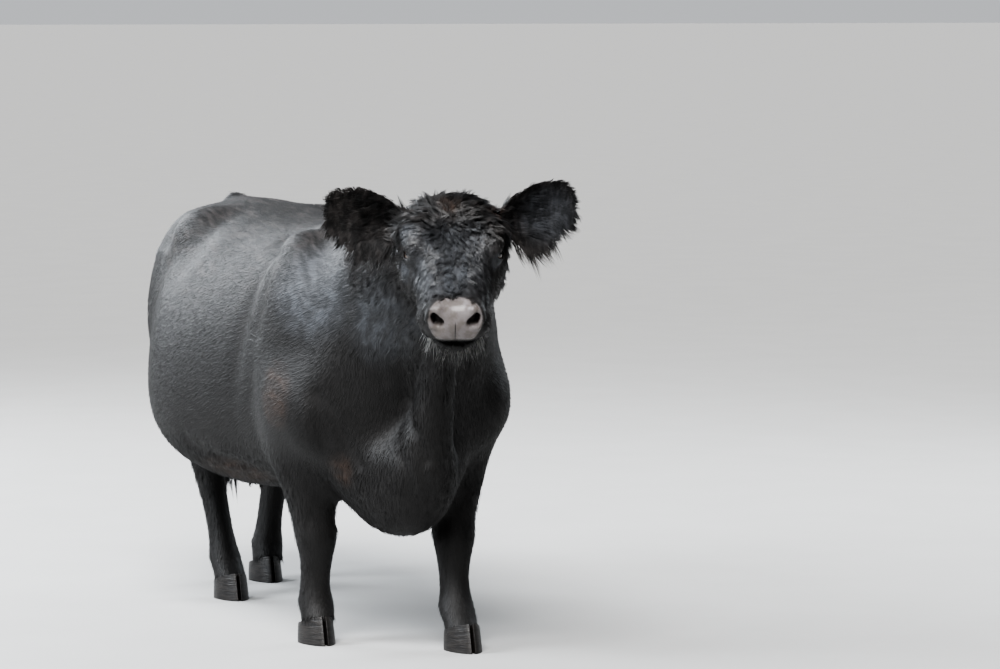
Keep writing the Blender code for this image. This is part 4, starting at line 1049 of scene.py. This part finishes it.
def skin_look():
    """Short flat fur as bump, over which the mesh hairs lie, and the bare wet pad of the nose."""
    look = Look("skin", 0.5, **SHEEN)
    pad, across, height = pad_mask(look)
    cells = {"Vector": look.place, "Scale": 330.0}
    cracks = look.ramp(look.node("TexVoronoi", "Distance", cells, feature="DISTANCE_TO_EDGE"), 0.0, 0.10)
    mottle = look.ramp(look.noise(45.0, detail=3.0), 0.38, 0.66)
    colour = look.mix(pad, coat_colour(look), look.mix(mottle, PAD_DARK, PAD_SKIN))
    # painted shade inside the nostrils
    for side in (-1, 1):
        for centre, radius in NOSTRIL_SHADE_SPOTS:
            hole = look.spot(from_head(np.multiply(centre, (side, 1, 1))), (radius,) * 3, 0.62)
            colour = look.mix(hole, colour, NOSTRIL_RED_AND_SHADE)
    # painted shade along the pad's middle groove
    narrow = look.ramp(look.math("ABSOLUTE", across), 0.0006, 0.0022, 1.0, 0.0)
    groove = look.times(narrow, look.ramp(height, -0.012, 0.004, 1.0, 0.0))
    look.colour(look.mix(look.times(pad, groove), colour, PAD_GROOVE_SHADE))
    look.links.new(look.ramp(pad, 0.0, 1.0, 0.62, 0.26), look.shader.inputs["Roughness"])
    fur = look.times(look.noise(260.0, (1, 0.10, 0.45), 3.0), look.ramp(pad, 0, 1, 0.45, 0.05))
    look.bump(look.plus(fur, look.times(cracks, look.ramp(pad, 0, 1, 0, 0.12))), 0.0022, 0.8)
    return look.material


def horn_look():
    look = Look("hoof_horn", 0.42, Specular_IOR_Level=0.5)
    rings, fine = look.noise(30.0, (1, 1, 9), 2.0), look.noise(120.0, (8, 8, 1), 3.0)
    look.colour(look.mix(look.ramp(rings, 0.35, 0.65), HORN_DARK, HORN_PALE))
    look.bump(look.plus(look.times(rings, 0.7), look.times(fine, 0.3)), 0.0018, 0.7)
    return look.material


def eye_look():
    """Dark iris and a wide flat pupil round the eye's own +Z, and a wet cornea."""
    look = Look("eye", 0.06, Coat_Weight=1.0, Coat_Roughness=0.02, Specular_IOR_Level=0.6)
    x, y = (look.times(look.axis(name), 1 / EYE_RADIUS) for name in "XY")
    x2, y2 = look.times(x, x), look.times(y, y)
    away = look.math("SQRT", look.plus(x2, y2))
    wide_away = look.math("SQRT", look.plus(look.times(x2, 0.35), look.times(y2, 1.6)))
    iris = look.mix(look.ramp(look.noise(500.0), 0.3, 0.7), IRIS_DARK, IRIS_BROWN)
    inner = look.mix(look.ramp(wide_away, 0.24, 0.30), PUPIL, iris)
    white = look.mix(look.ramp(look.noise(150.0), 0.35, 0.65), WHITE_DARK, WHITE_PALE)
    look.colour(look.mix(look.ramp(away, 0.70, 0.80), inner, white))
    return look.material


def settle(piece, slot, *nodes):
    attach(piece, "root")
    if nodes:
        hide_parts(*nodes)


skin.data.materials.append(skin_look())
flesh = [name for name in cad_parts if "claw" not in name and "eye" not in name]
settle(skin, "coat", *flesh)


def ball(name, segments, rings, radius, bend, material):
    """A sphere whose points the function bend moves."""
    bm = bmesh.new()
    bmesh.ops.create_uvsphere(bm, u_segments=segments, v_segments=rings, radius=radius)
    for v in bm.verts:
        bend(v.co)
    mesh = bpy.data.meshes.new(name)
    bm.to_mesh(mesh)
    bm.free()
    mesh.shade_smooth()
    mesh.materials.append(material)
    return put(name, mesh)


def cornea(co):
    """Lets the front of the eye stand out."""
    tilt = math.atan2(math.hypot(co.x, co.y), co.z)
    co *= 1 + 0.055 * max(0.0, math.cos(min(math.pi / 2, tilt * 1.75))) ** 0.8


def make_eye(side, word):
    made = ball(f"{word}_eyeball", 64, 48, EYE_RADIUS - 0.0004, cornea, eye_material)
    mirror = np.array((side, 1, 1))
    out = unit((EYE_OUT + np.array((-0.10, 0.12, 0.16))) * mirror @ HEAD)
    along = SLIT * mirror @ HEAD
    along = unit(along - out * (along @ out))
    turn = Matrix(np.array((along, np.cross(out, along), out)).T).to_4x4()
    made.matrix_world = Matrix.Translation(from_head(EYE * mirror) + SHIFT) @ turn
    settle(made, "eye", f"{word}_eye")


eye_material = eye_look()
for side, word in ((-1, "right"), (1, "left")):
    make_eye(side, word)


# outline of a claw: share of its width out from its inner side, share of its length
CLAW_PLAN = [
    (0.03, -0.50), (0.10, -0.52), (0.36, -0.44), (0.66, -0.26), (0.88, 0.02), (0.95, 0.25),
    (0.88, 0.42), (0.62, 0.50), (0.30, 0.50), (0.03, 0.44), (0.01, 0.15), (0.01, -0.20),
]
CLAW_RINGS = 15


def make_claw(foot, inner, word):
    """One claw with a rounded wall, growth rings and a flat sole, where its solid is."""
    name = f"{foot}_{word}_claw"
    centre_x, centre_y = foot_place(foot)
    across = -FEET[foot][0] * inner
    plan = np.array(CLAW_PLAN)
    for turn in range(3):
        after = np.roll(plan, -1, 0)
        plan = np.stack((0.75 * plan + 0.25 * after, 0.25 * plan + 0.75 * after), 1).reshape(-1, 2)
    n, last = len(plan), CLAW_RINGS - 1
    rings = []
    for share in np.linspace(0, 1, CLAW_RINGS):
        ridge = math.sin(share * 34) * (0.3 + 0.7 * share) * (share < 0.98)
        grow = 1.015 - 0.075 * share**1.5 + 0.010 * ridge
        x = 0.0018 + plan[:, 0] * CLAW_WIDTH * grow
        y = -0.016 * (1 - share) - 0.003 * share + plan[:, 1] * CLAW_LENGTH * grow * (1 - 0.10 * share)
        top = CORONET_HEIGHT - 0.001 - CORONET * y
        rings.append(np.column_stack((centre_x + across * x, centre_y + y, share * top)))
    faces = [tuple(range(n)), tuple(range(last * n, (last + 1) * n))]
    for r in range(last):
        for i in range(n):
            a, b = r * n + i, r * n + (i + 1) % n
            faces.append((a, b, b + n, a + n))
    made = solid(f"{name}_horn", np.concatenate(rings) + SHIFT, faces)
    bm = bmesh.new()
    bm.from_mesh(made.data)
    bmesh.ops.recalc_face_normals(bm, faces=bm.faces)
    bm.to_mesh(made.data)
    bm.free()
    made.data.shade_smooth()
    made.data.set_sharp_from_angle(angle=math.radians(50))
    made.data.materials.append(horn_material)
    settle(made, "horn", name)


def make_dewclaw(foot, word):
    """A blunt cone of horn in the middle of its solid."""
    name = f"{foot}_{word}_dewclaw"
    low, high = (np.array(c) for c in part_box(name))
    middle, size = (low + high) / 2, (high - low) / 2

    def blunt(co):
        point = 1 - 0.22 * max(0.0, -co.z)
        co.x, co.y, co.z = (middle[i] + size[i] * c for i, c in enumerate((co.x * point, co.y * point, co.z)))

    settle(ball(f"{name}_horn", 28, 20, 1, blunt, horn_material), "horn", name)


horn_material = horn_look()
for foot in FEET:
    for inner, word in ((1, "inner"), (-1, "outer")):
        make_claw(foot, inner, word)
        make_dewclaw(foot, word)


# Where each kind of hair grows, from 0 to 1
def head_places(p):
    return mirrored(to_head(p))


def eye_distance(p):
    return np.linalg.norm(head_places(p) - EYE, axis=1)


def near_eye(p):
    return ramp(eye_distance(p), 0.023, 0.031)


def on_trunk(p):
    return (1 - on_head(p)) * (p[:, 2] > LEG_TOP)


def on_legs(p):
    return 1.0 * (p[:, 2] <= LEG_TOP)


def over_hoof(p):
    _, spots = nearest_foot(p)
    return 1.0 * (p[:, 2] < CORONET_HEIGHT + 0.012 - CORONET * (p[:, 1] - spots[:, 1]))


def on_outline(p):
    """Underline, brisket, nape and thighs."""
    under = 1 - ramp(p[:, 2], 0.44, 0.56)
    nape = (1 - ramp(p[:, 1], -0.42, -0.22)) * ramp(p[:, 2], 0.70, 0.85)
    thigh = ramp(p[:, 1], 1.22, 1.34) * ramp(p[:, 2], 0.50, 0.60)
    return np.maximum.reduce((0.6 * under, 0.6 * nape, 0.4 * thigh)) * (p[:, 2] > 0.30) * (1 - on_head(p))


def on_face(p):
    return on_head(p) * (1 - on_ear(p)) * near_eye(p) * (1 - on_pad(p))


def on_crown(p):
    m = head_places(p)
    out = ((m[:, 0] / 0.135) ** 2 + ((m[:, 1] - 0.085) / 0.165) ** 2 < 1) & (m[:, 2] > -0.10)
    return on_head(p) * out * (1 - on_ear(p)) * near_eye(p)


def near_whorl(p):
    m = to_head(p)
    return on_head(p) * (np.hypot(m[:, 0], m[:, 1] - WHORL) < 0.045) * (m[:, 2] > -0.03)


def on_cheeks(p):
    m = head_places(p)
    lower = ramp(m[:, 1], 0.14, 0.22) * (1 - 0.3 * ramp(m[:, 1], 0.31, 0.37)) * (m[:, 1] < 0.41)
    back = (1 - ramp(m[:, 1], 0.10, 0.20)) * (1 - ramp(m[:, 2], -0.09, -0.04))
    return on_head(p) * np.maximum(lower, back) * (1 - on_ear(p)) * near_eye(p) * (1 - on_pad(p))


def on_chin(p):
    m = head_places(p)
    return on_head(p) * ramp(m[:, 1], 0.28, 0.33) * (1 - ramp(m[:, 2], -0.145, -0.125)) * (1 - on_pad(p))


def on_nape(p):
    return (1 - on_head(p)) * (1 - ramp(p[:, 1], -0.44, -0.26)) * ramp(p[:, 2], 0.70, 0.88)


def face_size(p):
    """Share of the full length that the hair of the face has, least on the muzzle and round the eyes."""
    fine = 1 - 0.5 * ramp(head_places(p)[:, 1], 0.28, 0.38)
    return fine * (0.35 + 0.65 * ramp(eye_distance(p), 0.026, 0.055))


def crown_size(p):
    w = head_places(p)[:, 1]
    high = (1 - 0.35 * ramp(w, 0.14, 0.24)) * (0.7 + 0.3 * ramp(w, -0.01, 0.06))
    return high * (0.4 + 0.6 * ramp(eye_distance(p), 0.035, 0.080))


def cheek_size(p):
    high = 1 - 0.4 * ramp(head_places(p)[:, 1], 0.20, 0.34)
    return high * (0.4 + 0.6 * ramp(eye_distance(p), 0.03, 0.07))


# tufts of an ear: count, from and to along it, from and to up across it, direction, length, lift
EAR_TUFTS = [
    (100, 0.030, 0.200, -1.00, -0.82, (0.55, -1.0, 0.25), 0.040, 0.004),
    (64, 0.030, 0.120, -1.00, -0.75, (0.20, -1.0, 0.25), 0.075, 0.006),
    (70, 0.050, 0.205, 0.88, 1.00, (1.0, 0.45, 0.05), 0.020, 0.003),
    (40, 0.185, 0.215, -0.9, 0.9, (1.0, 0.0, 0.0), 0.018, 0.003),
    (60, 0.020, 0.120, -0.80, 0.60, (1.0, -0.30, 0.45), 0.050, 0.012),
]
TUFT, SWITCH, BRISTLES = 10, 170, 220
LEG_TOP = 0.45


def grow_coat():
    """All the hair. Each kind draws from its own seed."""
    ground, kinds = Ground(skin), []

    def kind(*settings):
        kinds.append(Hairs(*settings))
        return kinds[-1]

    def strewn(roots, normals, mess):
        return flat(units(lie(roots, normals) + mess * rng.normal(size=roots.shape)), normals)

    def hairs(kind, share, density, length, width, lift, sizes, mess, shape=straight, **more):
        """Single hairs that lie the way of the coat."""
        roots, normals = ground.roots(share, density * DENSITY, rng)
        size = rng.uniform(*sizes, len(roots))
        along = strewn(roots, normals, mess) if mess else lie(roots, normals)
        kind.add(*shape(roots, normals, along, length * size, kind.segments), width, lift * size, rng, **more)

    def clumps(kind, share, density, count, spread, tight, width, length, lift, wave, size=None, power=1,
               turns=0.9, mess=0.20, sink=0.002, soft=0.60, **more):
        """Clumps of wavy hairs that lie the way of the coat. Size gives their size at the roots."""
        roots, normals = ground.roots(share, density * DENSITY, rng)
        size = size(roots) if size else 1.0
        path, ups = combed(roots, normals, strewn(roots, normals, mess), length * size, kind.segments)
        path, ups, phase, grow = bunch(path, ups, count, spread, tight, rng)
        lift, wave = (np.repeat(np.broadcast_to(x, len(roots)), count) * grow
                      for x in (lift * size**power, wave * size))
        kind.add(path, ups, width, lift, rng, wave, turns, phase=phase, sink=sink, soft=soft, **more)

    short = hair_look("coat_short", 0.56)
    curly = hair_look("coat_curly", 0.42, 0.65, 0.025)
    matt = hair_look("coat_matt", 0.55, 0.25)

    # short hair of trunk, neck and legs
    rng = np.random.default_rng(11)
    on_skin = {"flat": 0.25, "sink": 0.0008}
    hairs(kind("coat_body", 1, trunk_map, short), on_trunk, 22000, 0.022, 0.0036, 0.0028, (0.7, 1.3), 0.14,
          soft=0.52, **on_skin)
    legs_hair = kind("coat_legs", 1, upright_map, short)
    hairs(legs_hair, on_legs, 23500, 0.016, 0.0030, 0.0028, (0.7, 1.2), 0.18, soft=0.50, **on_skin)
    hairs(legs_hair, over_hoof, 55000, 0.026, 0.0026, 0.0050, (0.5, 1.2), 0.14, flat=0.2)

    # somewhat longer hair that breaks the outline
    rng = np.random.default_rng(12)
    hairs(kind("coat_fringe", 3, trunk_map, short), on_outline, 4300, 0.030, 0.0026, 0.0045, (0.7, 1.25),
          0.10, combed, wave=0.0015, turns=0.8)

    # short hair of the face
    face = kind("coat_face", 2, head_map, short)
    rng = np.random.default_rng(13)
    roots, normals = ground.roots(on_face, 44000 * DENSITY, rng)
    fine = face_size(roots)
    size = rng.uniform(0.7, 1.25, len(roots)) * fine
    path, ups = straight(roots, normals, strewn(roots, normals, 0.15), 0.018 * size, 2)
    face.add(path, ups, 0.0019 * np.sqrt(fine), 0.0036 * size, rng, 0.0010 * size, 0.7)

    # wavy hair of forehead, face and cheeks, and the beard
    curls = kind("coat_curls", 5, head_map, curly)
    rng = np.random.default_rng(14)
    for length, wave, lift in ((0.036, 0.0045, 0.011), (0.046, 0.0065, 0.018)):
        clumps(curls, on_crown, 4300, 10, 0.010, 0.70, 0.0021, length, lift, wave, crown_size, 2, sink=0.003)
    clumps(curls, near_whorl, 6500, 10, 0.010, 0.70, 0.0021, 0.030, 0.012, 0.0045, mess=0.9, sink=0.003)
    clumps(curls, on_cheeks, 4300, 8, 0.009, 0.60, 0.0018, 0.036, 0.010, 0.0040, cheek_size)
    clumps(curls, on_chin, 4200, 7, 0.007, 0.6, 0.0016, 0.034, 0.008, 0.0030, soft=0.5, droop=0.010)

    # wavy hair of the neck behind cheeks and ears
    rng = np.random.default_rng(15)
    clumps(kind("coat_ruff", 4, trunk_map, curly), on_nape, 3700, 9, 0.012, 0.5, 0.0020, 0.040, 0.005, 0.0030,
           turns=1.0, mess=0.1)

    # ears: short hair on the backs, long hair in the cup and round the rim
    rng = np.random.default_rng(16)
    hairs(kind("coat_ears", 2, ear_map, matt), on_ear, 56000, 0.016, 0.0018, 0.0036, (0.7, 1.3), 0,
          wave=0.001)
    tassel = kind("coat_ear_fringe", 4, ear_map, matt)
    for side in (-1, 1):
        turn = ear_turn(side)
        for count, low_l, high_l, low_h, high_h, way, length, lift in EAR_TUFTS:
            count = int(count * COUNTED)
            l, share = rng.uniform(low_l, high_l, count), rng.uniform(low_h, high_h, count)
            half, cup = np.interp(l, *EAR_HALF), np.interp(l, *EAR_CUP)
            e = np.column_stack((l, share * half, 0.004 - cup * (1 - share**2)))
            normal = slope(e, ear_field, 0.002)
            along = np.array(way) + rng.normal(0, 0.13, (count, 3))
            if way[1] == 0:
                along[:, 1] += 0.8 * share
            along = flat(along, normal, 0.8)
            size = length * (1.15 - 0.3 * (l - low_l) / (high_l - low_l)) * rng.uniform(0.55, 1.15, count)
            path, ups = straight(from_ear(e, side), normal @ turn, along @ turn, size, 4)
            path, ups, phase, grow = bunch(path, ups, TUFT, 0.010, 0.25, rng)
            tassel.add(path, ups, 0.0016, lift * grow, rng, 0.0030, 0.8, sink=0.001, phase=phase,
                       droop=0.20 * np.repeat(size, TUFT), soft=0.4)

    # the switch of the tail
    tail = kind("coat_tail", 5, tail_map, curly)
    rng = np.random.default_rng(17)
    count = int(SWITCH * COUNTED)
    z, a = rng.uniform(0.40, 0.62, count), rng.uniform(0, 2 * math.pi, count)
    normal = np.column_stack((np.cos(a), np.sin(a), 0 * a))
    x_tail, y_tail = TAIL[-1][:2]
    root = np.column_stack((x_tail + 0 * a, y_tail + 0 * a, z)) + normal * 0.010
    down = np.broadcast_to((0.0, 0.0, -1.0), normal.shape)
    path, ups, phase, size = bunch(*straight(root, normal, down, 0.165, 5), 9, 0.008, 0.8, rng)
    tail.add(path, ups, 0.0024, 0.020 * size, rng, 0.0060, 1.2, 0.6, 0.004, phase, soft=0.4)
    return [piece for kind in kinds for piece in kind.pieces()]


def make_whiskers():
    """Pale bristles of chin and lower lip."""
    pale = Look("whiskers", 0.45, Specular_IOR_Level=0.5)
    pale.colour(pale.mix(pale.ramp(pale.noise(60.0), 0.30, 0.55), BRISTLE_DARK, BRISTLE_PALE))
    kind = Hairs("chin_whiskers", 4, head_map, pale.material)
    draw = np.random.default_rng(18)
    u = draw.uniform(-0.062, 0.062, BRISTLES)
    w = 0.405 - 7 * u * u - draw.uniform(0, 0.05, BRISTLES)
    spots = from_head(np.column_stack((u, w, np.full(BRISTLES, -0.150))))
    for turn in range(6):
        spots = spots - slope(spots, skin_field) * 0.9 * skin_field(spots)[:, None]
    normal = slope(spots, skin_field)
    along = np.column_stack((0.5 * u / 0.06, np.full(BRISTLES, 0.75), np.full(BRISTLES, -0.75)))
    along = flat(units((along + draw.normal(0, 0.2, (BRISTLES, 3))) @ HEAD), normal, 0.55)
    length = draw.uniform(0.025, 0.058, BRISTLES)
    path, ups = straight(spots, normal, along, length, 4)
    kind.add(path, ups, 0.0013, 0.006, draw, 0.0014, 0.7, 0.7, droop=0.25 * length)
    return kind.pieces()


for piece in grow_coat() + make_whiskers():
    settle(piece, "coat")

# stage
FLOOR_COLOUR = (0.44, 0.437, 0.43)
FLOOR_REACH = 300
corners = [(x * FLOOR_REACH, y * FLOOR_REACH, -0.0004) for x, y in ((-1, -1), (1, -1), (1, 1), (-1, 1))]
floor = solid("floor", corners, [(0, 1, 2, 3)])
paint = Look("floor_paint", 0.75)
worn = tuple(0.97 * c for c in FLOOR_COLOUR)
paint.colour(paint.mix(paint.ramp(paint.noise(3.0), 0.3, 0.7), worn, FLOOR_COLOUR))
floor.data.materials.append(paint.material)


def lamp(name, kind, spot, target, power, colour, **settings):
    """A light that shines from its place at the target."""
    light = bpy.data.lights.new(name, kind)
    light.energy, light.color = power, colour
    for key, value in settings.items():
        setattr(light, key, value)
    made = put(name, light)
    made.location = spot
    made.rotation_mode = "QUATERNION"
    made.rotation_quaternion = (Vector(target) - Vector(spot)).to_track_quat("-Z", "Y")


SKY = (0.90, 0.95, 1.0)
lamp("key", "SUN", (-0.34, -0.60, 0.72), (0, 0, 0), 5.0, (1, 1, 1), angle=math.radians(30))
for name, spot, target, size, power in (
    ("left", (-5.0, 0.3, 3.8), (0, 0.2, 0.9), 3.0, 400),
    ("right", (5.0, 2.0, 3.6), (0, 0.2, 0.9), 3.0, 160),
    ("back", (-2.5, 5.8, 3.8), (0, 0.3, 0.9), 4.0, 420),
):
    lamp(name, "AREA", spot, target, power, SKY, shape="DISK", size=size)

# a room that is bright behind the animal and dim in front of it
world = bpy.data.worlds.new("studio")
world.use_nodes = True
room = Nodes(world.node_tree)
background = room.nodes["Background"].inputs
background["Color"].default_value = (0.88, 0.90, 0.93, 1)
behind = room.vector("DOT_PRODUCT", room.node("TexCoord", "Generated", {}), (-0.30, 0.95, 0.0), "Value")
room.links.new(room.ramp(behind, -0.1, 0.8, 0.12, 0.52), background["Strength"])
bpy.context.scene.world = world

lens = bpy.data.cameras.new("photo_camera")
camera = put("photo_camera", lens)
lens.sensor_width = 36
lens.lens = FOCAL * lens.sensor_width / PHOTO_WIDTH
lens.clip_end = 900
camera.location = VIEW_FROM + SHIFT
camera.rotation_mode = "QUATERNION"
camera.rotation_quaternion = Vector(LOOK).to_track_quat("-Z", "Y")
bpy.context.scene.camera = camera
bpy.context.scene.view_settings.look = "AgX - High Contrast"
